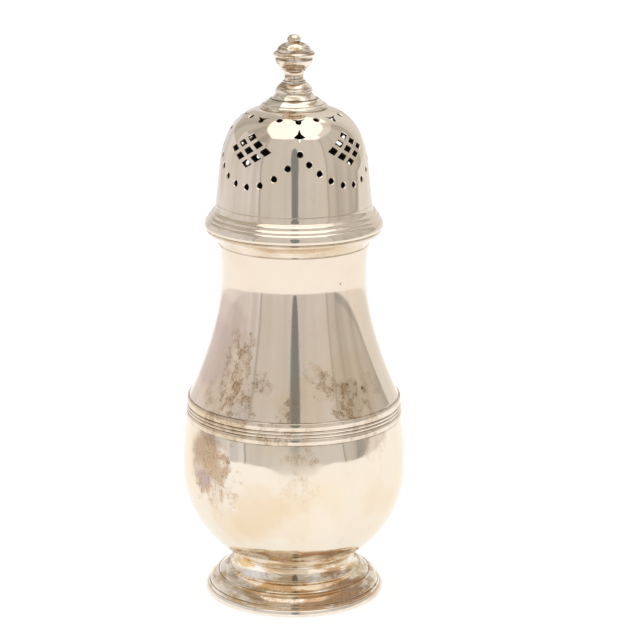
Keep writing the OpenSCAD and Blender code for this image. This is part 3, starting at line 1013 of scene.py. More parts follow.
@dataclass
class Body:
    """The pear-shaped body: bowl, girdle, neck and the wire round the mouth.

    Attributes:
        bowl: The bowl's curve.
        sheet: Thickness of the bowl and the neck.
        seat_r: Outer radius of both at the seam under the girdle.
        girdle_beads: Share of the girdle's height for each of its beads, from below.
        girdle_swells: How far each bead swells.
        girdle_top_out: How far the girdle's top stands out from the neck.
        throat_r: Least outer radius of the neck.
        throat_h: Height of the throat.
        sweep: How hard the neck curves below the throat.
        flare: How far the neck opens above the throat.
        reed_h: Height of the reed round the mouth.
        reed_out: How far the mouth's wire stands out from the neck.
        reed_swell: How far the reed swells.
        reed_low_in: How far the reed's low edge is set in.
        reed_top_in: How far the reed's top is set in.
        band_ledge: Width of the ledge under the hollow band.
        band_hollow: Depth of the hollow band.
        floor_r: Radius of the bowl's inside floor.
    """

    bowl: BowlCurve
    sheet: float = 0.9
    seat_r: float = 33.4
    girdle_beads: tuple[float, float, float, float] = (2.25, 1.05, 1.05, 2.55)
    girdle_swells: tuple[float, float, float, float] = (0.5, 0.35, 0.35, 0.4)
    girdle_top_out: float = 0.25
    throat_r: float = 22.8
    throat_h: float = 104.0
    sweep: float = 1.69
    flare: float = 0.6
    reed_h: float = 1.4
    reed_out: float = 4.2
    reed_swell: float = 0.6
    reed_low_in: float = 0.9
    reed_top_in: float = 0.5
    band_ledge: float = 0.35
    band_hollow: float = 0.85
    floor_r: float = 8.0

    def bowl_outline(self) -> Outline:
        """Section of the bowl.

        Returns:
            The points, round the section.
        """
        curve = self.bowl
        centre = (0.0, curve.belly)
        ledge, seam = bottom("girdle"), top("bowl")
        up = levels(curve.belly, ledge, SHORT_STEPS)[1:]
        outside = [*arc(centre, curve.radius, curve.depth, -90, 0, CURVE_STEPS), *((curve.above(z), z) for z in up),
                   (self.seat_r, ledge), (self.seat_r, seam)]
        inner_r = self.seat_r - self.sheet
        inside = [(inner_r, seam), (inner_r, ledge), *((curve.above(z) - self.sheet, z) for z in up[-2::-1]),
                  *arc(centre, curve.radius - self.sheet, curve.depth - self.sheet, 0, -90, CURVE_STEPS)]
        outside[0] = (0.0, outside[0][1])
        inside[-1] = (0.0, inside[-1][1])
        return outside + inside

    def girdle_outline(self) -> Outline:
        """Section of the girdle.

        Returns:
            The points, round the section.
        """
        low, high = bottom("girdle"), top("girdle")
        start, end = (self.bowl.shoulder, low), (self.seat_r + self.girdle_top_out, high)
        total, climbed, face = sum(self.girdle_beads), 0.0, []
        for height, swell in zip(self.girdle_beads, self.girdle_swells):
            shares = climbed / total, (climbed + height) / total
            root = [tuple(a + (b - a) * share for a, b in zip(start, end)) for share in shares]
            face += bead(root[0], root[1], swell)[1 if face else 0:]
            climbed += height
        return [(self.seat_r, low), *face, (self.seat_r, high)]

    def neck_radius(self, height: float) -> float:
        """Outer radius of the neck.

        Args:
            height: Height above the table.

        Returns:
            The radius there.
        """
        foot, wire = top("girdle"), bottom("mouth_wire")
        if height < self.throat_h:
            share = (self.throat_h - height) / (self.throat_h - foot)
            return self.throat_r + (self.seat_r - self.throat_r) * share ** self.sweep
        return self.throat_r + self.flare * ((height - self.throat_h) / (wire - self.throat_h)) ** 2

    def neck_outline(self) -> Outline:
        """Section of the neck.

        Returns:
            The points, round the section.
        """
        seam, foot, wire, mouth = bottom("neck"), top("girdle"), bottom("mouth_wire"), top("neck")
        rise = levels(foot, self.throat_h, CURVE_STEPS)
        flare = levels(self.throat_h, wire, SHORT_STEPS)[1:]
        bore = self.throat_r - self.sheet
        return [(self.seat_r, seam), *((self.neck_radius(z), z) for z in [*rise, *flare]),
                (self.throat_r + self.flare, mouth), (bore, mouth),
                *((self.neck_radius(z) - self.sheet, z) for z in reversed(rise)), (self.seat_r - self.sheet, seam)]

    def mouth_outline(self) -> Outline:
        """Section of the wire round the mouth.

        Returns:
            The points, round the section.
        """
        low, high = bottom("mouth_wire"), top("mouth_wire")
        inner = self.throat_r + self.flare
        outer = inner + self.reed_out
        turn = (outer - self.reed_low_in, high - self.reed_h)
        band = bead((inner + self.band_ledge, low), turn, -self.band_hollow)
        reed = bead(turn, (outer - self.reed_top_in, high), self.reed_swell)
        return [(inner, low), *band, *reed[1:], (inner, high)]

    def build(self, bowl: bpy.types.Material, neck: bpy.types.Material, moulding: bpy.types.Material,
              tarnish_and_shade_lining: bpy.types.Material) -> None:
        """Builds and dresses the body's pieces.

        Args:
            bowl: Material of the bowl's outside.
            neck: Material of the neck's outside.
            moulding: Material of the wires.
            tarnish_and_shade_lining: Dark material of the inside: tarnish, and painted shade.
        """
        collet = top("foot_collet")
        bowl_seams = [(self.bowl.below(collet), collet), (self.bowl.shoulder, bottom("girdle"))]
        neck_seams = [(self.seat_r, top("girdle")), (self.throat_r + self.flare, bottom("mouth_wire"))]
        girdle_seams = [(self.seat_r + self.girdle_top_out, top("girdle")), bowl_seams[1]]
        for name, node, outline, seams, finish in (
            ("raised_bowl", "bowl", self.bowl_outline(), bowl_seams, bowl),
            ("reeded_girdle", "girdle", self.girdle_outline(), girdle_seams, moulding),
            ("tapering_neck", "neck", self.neck_outline(), neck_seams, neck),
            ("mouth_moulding", "mouth_wire", self.mouth_outline(), neck_seams[1:], moulding),
        ):
            piece = TurnedPiece(name, node, Rider.BODY, Slot.BODY, outline, seams=seams, floor_r=self.floor_r)
            piece.build(finish, tarnish_and_shade_lining)


@dataclass
class Piercing:
    """The pattern of holes in the dome.

    Attributes:
        repeats: Repeats of star, lattice and festoon.
        turn: Turn of the pattern from the front.
        dot_r: Radius of the round holes.
        festoon_dots: Round holes in each festoon.
        festoon_drop: How far a festoon's lowest place is below the dome's spring.
        festoon_rise: How far its ends rise.
        festoon_lean: How far its holes lean to one side.
        festoon_gather: How far its holes gather towards its ends.
        star_h: Height of the stars above the dome's spring.
        star_right: Right half of a star's outline, from its upper point down.
        lattice_h: Height of a lattice's middle above the dome's spring.
        lattice_step_a: Angle from a lozenge to the next in its rank, halved.
        lattice_step_h: Height from a rank of lozenges to the next.
        lattice_open: Open share of a lattice.
        crown_holes: Winged holes round the crown.
        crown_drop: How far they are below the crown.
        crown_dot_lift: How far the round holes between them are lifted.
        wing_tip: Tip of a right wing.
        wing_crest: Where the wing's upper edge bends.
        wing_dip: Height of the dip between the wings.
        drop_r: Radius of the drop under the wings.
        drop_low: How far the drop's middle is below the hole's.
        drop_open: Angle at which the drop meets a wing.
        depth: How far a cutter reaches in.
        chamfer: Width of the bright edge round each hole.
        above: How far a cutter stands out.
    """

    repeats: int = 4
    turn: float = 5.0
    dot_r: float = 0.9
    festoon_dots: int = 9
    festoon_drop: float = 3.8
    festoon_rise: float = 10.7
    festoon_lean: float = 4.2
    festoon_gather: float = 2.2
    star_h: float = 11.6
    star_right: tuple[Point, ...] = ((0.0, 2.95), (0.5, 1.15), (1.72, 0.0), (0.48, -0.45), (0.0, -1.65))
    lattice_h: float = 7.2
    lattice_step_a: float = 8.1
    lattice_step_h: float = 1.93
    lattice_open: float = 0.6
    crown_holes: int = 8
    crown_drop: float = 1.9
    crown_dot_lift: float = 0.3
    wing_tip: Point = (2.15, 1.3)
    wing_crest: Point = (1.0, 0.82)
    wing_dip: float = 0.6
    drop_r: float = 0.85
    drop_low: float = 0.4
    drop_open: float = 30.0
    depth: float = 1.6
    chamfer: float = 0.26
    above: float = 0.6

    def star(self) -> list[Point]:
        """Outline of a four-pointed star with a long upper point."""
        return [*self.star_right, *((-x, y) for x, y in reversed(self.star_right[1:-1]))]

    def winged(self) -> list[Point]:
        """Outline of a round drop with two wings that rise from it.

        Returns:
            The points, from the right of the drop round its foot.
        """
        tip, crest, opening = self.wing_tip, self.wing_crest, self.drop_open
        drop = arc((0.0, -self.drop_low), self.drop_r, self.drop_r, opening, -180.0 - opening, SHORT_STEPS)
        return [*drop, (-tip[0], tip[1]), (-crest[0], crest[1]), (0.0, self.wing_dip), crest, tip]

    def dot(self) -> list[Point]:
        """Outline of a round hole."""
        return arc((0.0, 0.0), self.dot_r, self.dot_r, 0.0, 360.0, 2 * SHORT_STEPS)[:-1]


@dataclass
class Cover:
    """The pull-off cover: a bezel, a reeded rim and the pierced dome.

    Attributes:
        piercing: The pattern of holes.
        sheet: Thickness of the dome.
        body_sheet: Thickness of the bezel.
        bezel_r: Outer radius of the bezel.
        bezel_ease: Bevel of the bezel's low edges.
        dome_r: Outer radius of the dome's skirt.
        lean: Lean of the dome's wall, from upright.
        spring_h: Height above the rim's foot at which the wall begins to turn in.
        shoulder_r: Radius of the shoulder's arc.
        turn: Slope at which the shoulder becomes the crown.
        crown_r: Radius of the crown's arc.
        flat_r: Radius of the flat under the boss.
        eye_r: Radius of the hole for the stud.
        rim_low_h: Height of the rim's low bead.
        rim_reed_h: Height of each reed above it.
        rim_out: How far the rim stands out from the dome.
        rim_swell: How far the low bead swells.
        rim_low_out: How far the low bead's foot stands out further.
        rim_top_in: How far the low bead's top is set in.
        rim_reed_in: How far the top of each reed is set in.
        rim_reed_swell: How far each reed swells.
        rim_lean: How far the crests lean.
        rim_dirt: How far the dirt of the rim's grooves reaches.
        dome_dirt: How far the dirt at the dome's seams reaches.
    """

    piercing: Piercing = field(default_factory=Piercing)
    sheet: float = 0.8
    body_sheet: float = 0.9
    bezel_r: float = 21.82
    bezel_ease: float = 0.2
    dome_r: float = 24.4
    lean: float = 5.9
    spring_h: float = 20.0
    shoulder_r: float = 32.0
    turn: float = 23.4
    crown_r: float = 14.1
    flat_r: float = 10.4
    eye_r: float = 1.35
    rim_low_h: float = 3.0
    rim_reed_h: float = 1.25
    rim_out: float = 2.6
    rim_swell: float = 0.8
    rim_low_out: float = 0.3
    rim_top_in: float = 0.1
    rim_reed_in: Point = (0.95, 0.75)
    rim_reed_swell: Point = (0.3, 0.25)
    rim_lean: float = 0.15
    rim_dirt: float = 0.22
    dome_dirt: float = 0.5

    @property
    def spring(self) -> Point:
        """Where the dome's wall begins to turn in."""
        height = bottom("cover_rim") + self.spring_h
        return self.dome_r - (height - top("cover_rim")) * math.tan(math.radians(self.lean)), height

    @property
    def shoulder_c(self) -> Point:
        """Centre of the shoulder's arc."""
        a = math.radians(self.lean)
        return self.spring[0] - self.shoulder_r * math.cos(a), self.spring[1] - self.shoulder_r * math.sin(a)

    @property
    def turn_point(self) -> Point:
        """Where the shoulder becomes the crown."""
        a, centre = math.radians(self.turn), self.shoulder_c
        return centre[0] + self.shoulder_r * math.cos(a), centre[1] + self.shoulder_r * math.sin(a)

    @property
    def crown_c(self) -> Point:
        """Centre of the crown's arc."""
        a, point = math.radians(self.turn), self.turn_point
        return point[0] - self.crown_r * math.cos(a), point[1] - self.crown_r * math.sin(a)

    def slope(self, height: float) -> float:
        """Slope of the dome.

        Args:
            height: Height above the table.

        Returns:
            The angle there, from upright.
        """
        if height < self.spring[1]:
            return self.lean
        if height < self.turn_point[1]:
            return math.degrees(math.asin((height - self.shoulder_c[1]) / self.shoulder_r))
        return math.degrees(math.asin(min(1.0, (height - self.crown_c[1]) / self.crown_r)))

    def radius(self, height: float) -> float:
        """Outer radius of the dome.

        Args:
            height: Height above the table.

        Returns:
            The radius there.
        """
        if height < top("cover_rim"):
            return self.dome_r
        if height < self.spring[1]:
            return self.dome_r - (height - top("cover_rim")) * math.tan(math.radians(self.lean))
        centre, arc_r = ((self.shoulder_c, self.shoulder_r) if height < self.turn_point[1]
                         else (self.crown_c, self.crown_r))
        return centre[0] + arc_r * math.cos(math.radians(self.slope(height)))

    def dome_line(self, inset: float, fine: int) -> Outline:
        """The dome's line from its skirt to the crown's flat.

        Args:
            inset: How far it is set in from the outside.
            fine: Steps along each curve.

        Returns:
            The points, from the skirt up.
        """
        skirt, rim, crown = bottom("cover_dome"), top("cover_rim"), top("cover_dome")
        wall = [(self.dome_r - inset, z) for z in levels(skirt, rim, SHORT_STEPS // 4)]
        start = arc(self.shoulder_c, self.shoulder_r - inset, self.shoulder_r - inset, self.lean, self.turn, fine)
        lean = [tuple(a + (b - a) * i / fine for a, b in zip(wall[-1], start[0])) for i in range(1, fine)]
        end = math.degrees(math.asin((crown - inset - self.crown_c[1]) / (self.crown_r - inset)))
        cap = arc(self.crown_c, self.crown_r - inset, self.crown_r - inset, self.turn, end, fine)
        return [*wall, *lean, *start, *cap[1:]]

    def dome_outline(self) -> Outline:
        """Section of the dome before it is pierced.

        Returns:
            The points, round the section.
        """
        crown = top("cover_dome")
        flat = [(r, crown) for r in levels(self.flat_r, self.eye_r, SHORT_STEPS // 4)[1:]]
        inside = self.dome_line(self.sheet, SHORT_STEPS // 2)
        return [*self.dome_line(0.0, SHORT_STEPS), *flat, (self.eye_r, crown - self.sheet), *reversed(inside)]

    def bezel_outline(self) -> Outline:
        """Section of the bezel and its flange.

        Returns:
            The points, round the section.
        """
        low, high, mouth = bottom("cover_bezel"), top("cover_bezel"), bottom("cover_rim")
        inner, ease = self.bezel_r - self.body_sheet, self.bezel_ease
        return [(inner + ease, low), (self.bezel_r - ease, low), (self.bezel_r, low + ease), (self.bezel_r, mouth),
                (self.dome_r, mouth), (self.dome_r, high), (inner, high), (inner, low + ease)]

    def rim_outline(self) -> Outline:
        """Section of the reeded rim.

        Returns:
            The points, round the section.
        """
        low, high = bottom("cover_rim"), top("cover_rim")
        root = self.dome_r + self.rim_out
        turns = [(root + self.rim_low_out, low), (root - self.rim_top_in, low + self.rim_low_h)]
        for step in self.rim_reed_in:
            turns.append((turns[-1][0] - step, turns[-1][1] + self.rim_reed_h))
        face: Outline = []
        for start, end, swell in zip(turns, turns[1:], (self.rim_swell, *self.rim_reed_swell)):
            face += bead(start, end, swell, self.rim_lean)[1 if face else 0:]
        cove = arc((turns[-1][0], high), turns[-1][0] - self.dome_r, high - turns[-1][1], 270, 180, SHORT_STEPS)
        return [(self.dome_r, low), *face, *cove[1:]]

    def cutter(self, shape: list[Point]) -> bpy.types.Object:
        """Models a cutter for one kind of hole, wider above the surface, so that it leaves a bright edge.

        Args:
            shape: Outline of the hole.

        Returns:
            The cutter, flat at the origin.
        """
        holes = self.piercing
        bpy.ops.object.select_all(action="DESELECT")
        bpy.ops.mesh.primitive_circle_add(vertices=len(shape), radius=MM, fill_type="NGON")
        tool = bpy.context.active_object
        for vertex, (x, y) in zip(tool.data.vertices, shape):
            vertex.co = (x * MM, y * MM, -holes.depth * MM)
        bpy.ops.object.mode_set(mode="EDIT")
        bpy.ops.mesh.select_all(action="SELECT")
        wide = max(math.hypot(x, y) for x, y in shape)
        flare = holes.chamfer + holes.above
        for rise, grow in ((holes.depth - holes.chamfer, 0.0), (flare, flare)):
            bpy.ops.mesh.extrude_region_move(TRANSFORM_OT_translate={"value": (0.0, 0.0, rise * MM)})
            scale = 1.0 + grow / wide
            bpy.ops.transform.resize(value=(scale, scale, 1.0), center_override=(0.0, 0.0, 0.0))
        bpy.ops.mesh.select_all(action="SELECT")
        bpy.ops.mesh.normals_make_consistent(inside=False)
        bpy.ops.object.mode_set(mode="OBJECT")
        return tool

    def placed(self, pattern: bpy.types.Object, azimuth: float, height: float) -> bpy.types.Object:
        """Copies a cutter, with a mesh of its own, to its place on the dome.

        Args:
            pattern: The cutter at the origin.
            azimuth: Turn from the front.
            height: Height of the hole's middle.

        Returns:
            The copy.
        """
        tool = pattern.copy()
        tool.data = pattern.data.copy()
        bpy.context.collection.objects.link(tool)
        lay = Matrix.Rotation(math.radians(90.0 - self.slope(height)), 4, "X")
        move = Matrix.Translation((0.0, -self.radius(height) * MM, height * MM))
        tool.data.transform(Matrix.Rotation(math.radians(azimuth), 4, "Z") @ move @ lay)
        return tool

    def festoon(self, dot: int) -> Point:
        """Where a dot of the festoon is.

        Args:
            dot: Its number from the festoon's left end.

        Returns:
            Its turn from that end, and its height.
        """
        holes = self.piercing
        span, share = 360.0 / holes.repeats, dot / holes.festoon_dots
        bend = math.pi * share
        angle = span * share - holes.festoon_lean * math.sin(bend) - holes.festoon_gather * math.sin(2 * bend)
        rise = holes.festoon_rise * (2 * angle / span - 1) ** 2
        return angle, self.spring[1] - holes.festoon_drop + rise

    def lozenge_h(self, rank: int) -> float:
        """Height of a rank of the lattice, counted down from its middle."""
        return self.spring[1] + self.piercing.lattice_h - rank * self.piercing.lattice_step_h

    def lozenge(self, rank: int) -> list[Point]:
        """Outline of a lozenge of the lattice.

        Args:
            rank: Its rank, counted down from the lattice's middle.

        Returns:
            The four corners.
        """
        holes, height = self.piercing, self.lozenge_h(rank)
        wide = holes.lattice_open * math.radians(holes.lattice_step_a) * self.radius(height)
        tall = holes.lattice_open * holes.lattice_step_h / math.cos(math.radians(self.slope(height)))
        return [(wide, 0.0), (0.0, tall), (-wide, 0.0), (0.0, -tall)]

    def cutters(self) -> list[bpy.types.Object]:
        """Cutters for the whole pattern: each kind is modelled once and copied.

        Returns:
            One cutter for each hole.
        """
        holes, crown = self.piercing, top("cover_dome")
        star, dot, winged = (self.cutter(shape) for shape in (holes.star(), holes.dot(), holes.winged()))
        lozenges = {rank: self.cutter(self.lozenge(rank)) for rank in range(-2, 3)}
        span, crown_step = 360.0 / holes.repeats, 360.0 / holes.crown_holes
        made = []
        for repeat in range(holes.repeats):
            turn = holes.turn + repeat * span
            made.append(self.placed(star, turn, self.spring[1] + holes.star_h))
            for i, j in product((-1, 0, 1), repeat=2):
                across = turn + span / 2 + (i - j) * holes.lattice_step_a
                made.append(self.placed(lozenges[i + j], across, self.lozenge_h(i + j)))
            for number in range(holes.festoon_dots):
                angle, height = self.festoon(number)
                made.append(self.placed(dot, turn + angle, height))
        for hole in range(holes.crown_holes):
            turn, row = holes.turn + hole * crown_step, crown - holes.crown_drop
            made.append(self.placed(winged, turn, row))
            made.append(self.placed(dot, turn + crown_step / 2, row + holes.crown_dot_lift))
        for pattern in (star, dot, winged, *lozenges.values()):
            bpy.data.objects.remove(pattern)
        return made

    def pierce(self, dome: bpy.types.Object) -> None:
        """Cuts the pattern through the dome.

        Args:
            dome: The plain dome.
        """
        tools = self.cutters()
        bpy.ops.object.select_all(action="DESELECT")
        for tool in tools:
            tool.select_set(True)
        bpy.context.view_layer.objects.active = tools[0]
        bpy.ops.object.join()
        saw = bpy.context.active_object
        Workshop.pick(dome)
        cut = dome.modifiers.new("piercing", "BOOLEAN")
        cut.operation, cut.solver, cut.object = "DIFFERENCE", "EXACT", saw
        bpy.ops.object.modifier_apply(modifier=cut.name)
        bpy.data.objects.remove(saw)
        Workshop.pick(dome)
        bpy.ops.object.mode_set(mode="EDIT")
        bpy.ops.mesh.select_all(action="SELECT")
        bpy.ops.mesh.remove_doubles(threshold=MERGE_GAP)
        bpy.ops.object.mode_set(mode="OBJECT")
        bpy.ops.object.shade_smooth_by_angle(angle=math.radians(SMOOTH_ANGLE))

    def build_dome(self, finish: bpy.types.Material, tarnish_and_shade_lining: bpy.types.Material) -> None:
        """Builds, pierces and dresses the dome.

        Args:
            finish: Material of the outside.
            tarnish_and_shade_lining: Dark material of the inside and of the holes' walls: tarnish, and painted
                shade.
        """
        record = TurnedPiece("pierced_dome", "cover_dome", Rider.COVER, Slot.COVER, self.dome_outline())
        dome = Workshop.turn(record.name, record.outline, DOME_STEPS)
        self.pierce(dome)
        seams = [(self.dome_r, top("cover_rim")), (self.flat_r, top("cover_dome"))]
        Workshop.mark_grooves(dome, seams, self.dome_dirt)
        dome.data.materials.append(finish)
        dome.data.materials.append(tarnish_and_shade_lining)
        # Faces below the outside, the inside and the holes' walls, take the dark finish: tarnish plus painted shade
        for face in dome.data.polygons:
            height = face.center.z / MM
            gap = self.radius(height) - math.hypot(face.center.x, face.center.y) / MM
            depth = gap * math.cos(math.radians(self.slope(height)))
            under = height < top("cover_dome") - MERGE_GAP / MM and depth > SHADE_LINING_DEPTH * self.piercing.chamfer
            face.material_index = 1 if under else 0
        record.join_frame(dome)

    def build(self, finish: bpy.types.Material, tarnish_and_shade_lining: bpy.types.Material) -> None:
        """Builds and dresses the cover's pieces.

        Args:
            finish: Material of the outside.
            tarnish_and_shade_lining: Dark material of the inside: tarnish, and painted shade.
        """
        bezel = TurnedPiece("bezel", "cover_bezel", Rider.COVER, Slot.PLAIN, self.bezel_outline())
        rim = TurnedPiece("reeded_rim", "cover_rim", Rider.COVER, Slot.COVER, self.rim_outline(), self.rim_dirt)
        for piece in (bezel, rim):
            piece.build(finish, tarnish_and_shade_lining)
        self.build_dome(finish, tarnish_and_shade_lining)


@dataclass
class Finial:
    """The turned finial: a stepped boss, a stem with its cup, and a domed cap with a button.

    Attributes:
        stud_r: Radius of the hole for the stud.
        boss_foot_r: Radius of the boss's foot.
        boss_steps: Run and rise of the boss's steps, from its foot up.
        boss_reeds: Run and rise of its two reeds, from the upper one's top down.
        boss_swells: How far the foot, the round above it, the hollow and the reeds swell.
        fillet_h: Height of the fillet under the stem.
        fillet_out: How far the fillet stands out from the stem.
        stem_foot_r: Radius of the stem's foot.
        stem_waist: How far the stem's waist is drawn in.
        ring_z: Height of the ring above the stem's foot.
        ring_h: Height of the ring from edge to edge.
        ring_out: How far the ring's low edge stands out from the stem's foot.
        ring_step: How far the ring swells, and steps out from the waist.
        cup_r: Radius of the cup's edge.
        cup_swell: How far the cup swells.
        cup_band_h: Height of the plain band at the cup's edge.
        socket_h: Depth of the stud's socket.
        flange_h: Height of the cap's flange.
        flange_swell: How far the flange swells.
        flange_out: How far the flange stands out from the cup.
        cap_in: How far the cap's dome is set in.
        cap_dome_h: Height of the dome's ellipse.
        cap_end: Angle at which the dome meets the button.
        button_r: Radius of the button.
        button_crown: Height of the button above its widest place.
        button_start: Angle at which the button starts.
        groove_width: How far the dirt of a groove reaches.
    """

    stud_r: float = 1.35
    boss_foot_r: float = 10.5
    boss_steps: tuple[Point, Point, Point] = ((-1.1, 1.2), (-2.0, 1.6), (-0.15, 0.15))
    boss_reeds: tuple[Point, Point] = ((1.6, -1.6), (0.4, -1.3))
    boss_swells: tuple[float, float, float, float] = (0.4, 0.15, -0.25, 0.35)
    fillet_h: float = 0.6
    fillet_out: float = 0.25
    stem_foot_r: float = 3.35
    stem_waist: float = 0.5
    ring_z: float = 3.2
    ring_h: float = 0.5
    ring_out: float = 0.2
    ring_step: float = 0.15
    cup_r: float = 5.7
    cup_swell: float = 0.52
    cup_band_h: float = 0.7
    socket_h: float = 3.75
    flange_h: float = 1.5
    flange_swell: float = 0.85
    flange_out: float = 0.05
    cap_in: float = 0.4
    cap_dome_h: float = 3.2
    cap_end: float = 72.0
    button_r: float = 2.1
    button_crown: float = 1.5
    button_start: float = -36.0
    groove_width: float = 0.34

    def boss_outline(self) -> Outline:
        """Section of the boss.

        Returns:
            The points, round the section.
        """
        low, high = bottom("finial_boss"), top("finial_boss")
        turns = [(self.boss_foot_r, low)]
        for step in self.boss_steps:
            turns.append((turns[-1][0] + step[0], turns[-1][1] + step[1]))
        fillet = (self.stem_foot_r + self.fillet_out, high)
        reed_top = (fillet[0], high - self.fillet_h)
        reed_mid = (reed_top[0] + self.boss_reeds[0][0], reed_top[1] + self.boss_reeds[0][1])
        reed_low = (reed_mid[0] + self.boss_reeds[1][0], reed_mid[1] + self.boss_reeds[1][1])
        foot, rounded, hollow, reed = self.boss_swells
        return [(self.stud_r, low), *bead(turns[0], turns[1], foot), *bead(turns[1], turns[2], rounded)[1:],
                *bead(turns[3], reed_low, hollow), *bead(reed_low, reed_mid, reed)[1:],
                *bead(reed_mid, reed_top, reed)[1:], fillet, (self.stud_r, high)]

    def stem_outline(self) -> Outline:
        """Section of the stem and cup, with the stud's socket.

        Returns:
            The points, round the section.
        """
        low, high = bottom("finial_stem"), top("finial_stem")
        ring_low = (self.stem_foot_r + self.ring_out, low + self.ring_z)
        ring_high = (ring_low[0] + self.ring_step, ring_low[1] + self.ring_h)
        waist_end = (ring_low[0] - self.ring_step, ring_low[1])
        socket = low + self.socket_h
        return [(0.0, socket), (self.stud_r, socket), (self.stud_r, low),
                *bead((self.stem_foot_r, low), waist_end, -self.stem_waist),
                *bead(ring_low, ring_high, self.ring_step),
                *bead(ring_high, (self.cup_r, high - self.cup_band_h), self.cup_swell)[1:],
                (self.cup_r, high), (0.0, high)]

    def cap_outline(self) -> Outline:
        """Section of the cap and its button.

        Returns:
            The points, round the section.
        """
        low, high = bottom("finial_cap"), top("finial_cap")
        ledge = low + self.flange_h
        dome_r = self.cup_r - self.cap_in
        flange = bead((self.cup_r + self.flange_out, low), (dome_r + self.flange_out, ledge), self.flange_swell)
        dome = arc((0.0, ledge), dome_r, self.cap_dome_h, 0.0, self.cap_end, SHORT_STEPS)
        button_c = (0.0, high - self.button_crown)
        button = arc(button_c, self.button_r, self.button_crown, self.button_start, 90.0, SHORT_STEPS)
        button[-1] = (0.0, high)
        return [(0.0, low), *flange, *dome, *button]

    def build(self, finish: bpy.types.Material, boss: bpy.types.Material, tarnish_and_shade_lining: bpy.types.Material) -> None:
        """Builds and dresses the finial's pieces, and dresses its fixing.

        Args:
            finish: Material of the stem and cap.
            boss: Material of the boss.
            tarnish_and_shade_lining: Dark material of the fixing: tarnish, and painted shade.
        """
        for name, node, outline, dress in (
            ("stepped_boss", "finial_boss", self.boss_outline(), boss),
            ("stem_and_cup", "finial_stem", self.stem_outline(), finish),
            ("domed_cap", "finial_cap", self.cap_outline(), finish),
        ):
            piece = TurnedPiece(name, node, Rider.COVER, Slot.FINIAL, outline, self.groove_width, FINIAL_STEPS)
            piece.build(dress, dress)
        # The fixing inside the dome takes the dark finish: tarnish plus painted shade
        for node in ("finial_stud", "finial_washer", "finial_nut"):
            for slot in bpy.data.objects[node].material_slots:
                slot.material = tarnish_and_shade_lining


class Cloth(Enum):
    """Cloths and papers of the tent: the colour in the folds, and the colour between them."""

    FRONT_CLOTH = ((0.655, 0.64, 0.63), (0.72, 0.70, 0.69))
    LEFT_CLOTH = ((0.65, 0.64, 0.66), (0.82, 0.81, 0.83))
    RIGHT_CLOTH = ((0.50, 0.485, 0.465), (0.63, 0.61, 0.58))
    BACK_CLOTH = ((0.70, 0.68, 0.65), (0.80, 0.78, 0.75))
    SWEEP_PAPER = ((0.84, 0.83, 0.81), (0.90, 0.89, 0.87))
    SEAM_SHADE = ((0.38, 0.38, 0.37), (0.48, 0.47, 0.46))
    SLIT_SHADE = ((0.215, 0.245, 0.25), (0.255, 0.285, 0.29))
    LEFT_SWEEP_PAPER = ((0.80, 0.78, 0.81), (0.88, 0.86, 0.89))
    LEFT_SWEEP_SHADE = ((0.64, 0.60, 0.62), (0.72, 0.68, 0.70))
    LEFT_TOP_CLOTH = ((0.44, 0.42, 0.39), (0.60, 0.58, 0.54))
    RIGHT_TOP_CLOTH = ((0.74, 0.72, 0.69), (0.86, 0.84, 0.81))

    def material(self) -> bpy.types.Material:
        """Glowing cloth with upright folds.

        Returns:
            The material.
        """
        made = bpy.data.materials.new(self.name.lower())
        bench = NodeBench(made)
        folds = bench.noise(1.0, detail=3.0, rough=0.6, place=bench.stretched(FOLDS))
        glow = bench.node("ShaderNodeEmission")
        shade, light = self.value
        bench.feed(glow.inputs["Color"], bench.tint(bench.band(folds, *FOLD_BAND), shade, light))
        bench.surface(glow.outputs["Emission"])
        return made


@dataclass(frozen=True)
class Curtain:
    """A panel of the tent between two angles round the caster.

    Attributes:
        name: Name of the panel.
        cloth: What it is made of.
        edges: First and last angle.
        lows: Height of its hem at each of them.
        highs: Height of its top at each of them.
        ahead: How far it hangs inside the tent's own cloth.
    """

    name: str
    cloth: Cloth
    edges: Point
    lows: Point
    highs: Point
    ahead: float = 0.0

    def rows(self) -> list[PanelRow]:
        """The panel's lines, from the hem to the top."""
        return [(*self.edges, *self.lows), (*self.edges, *self.highs)]


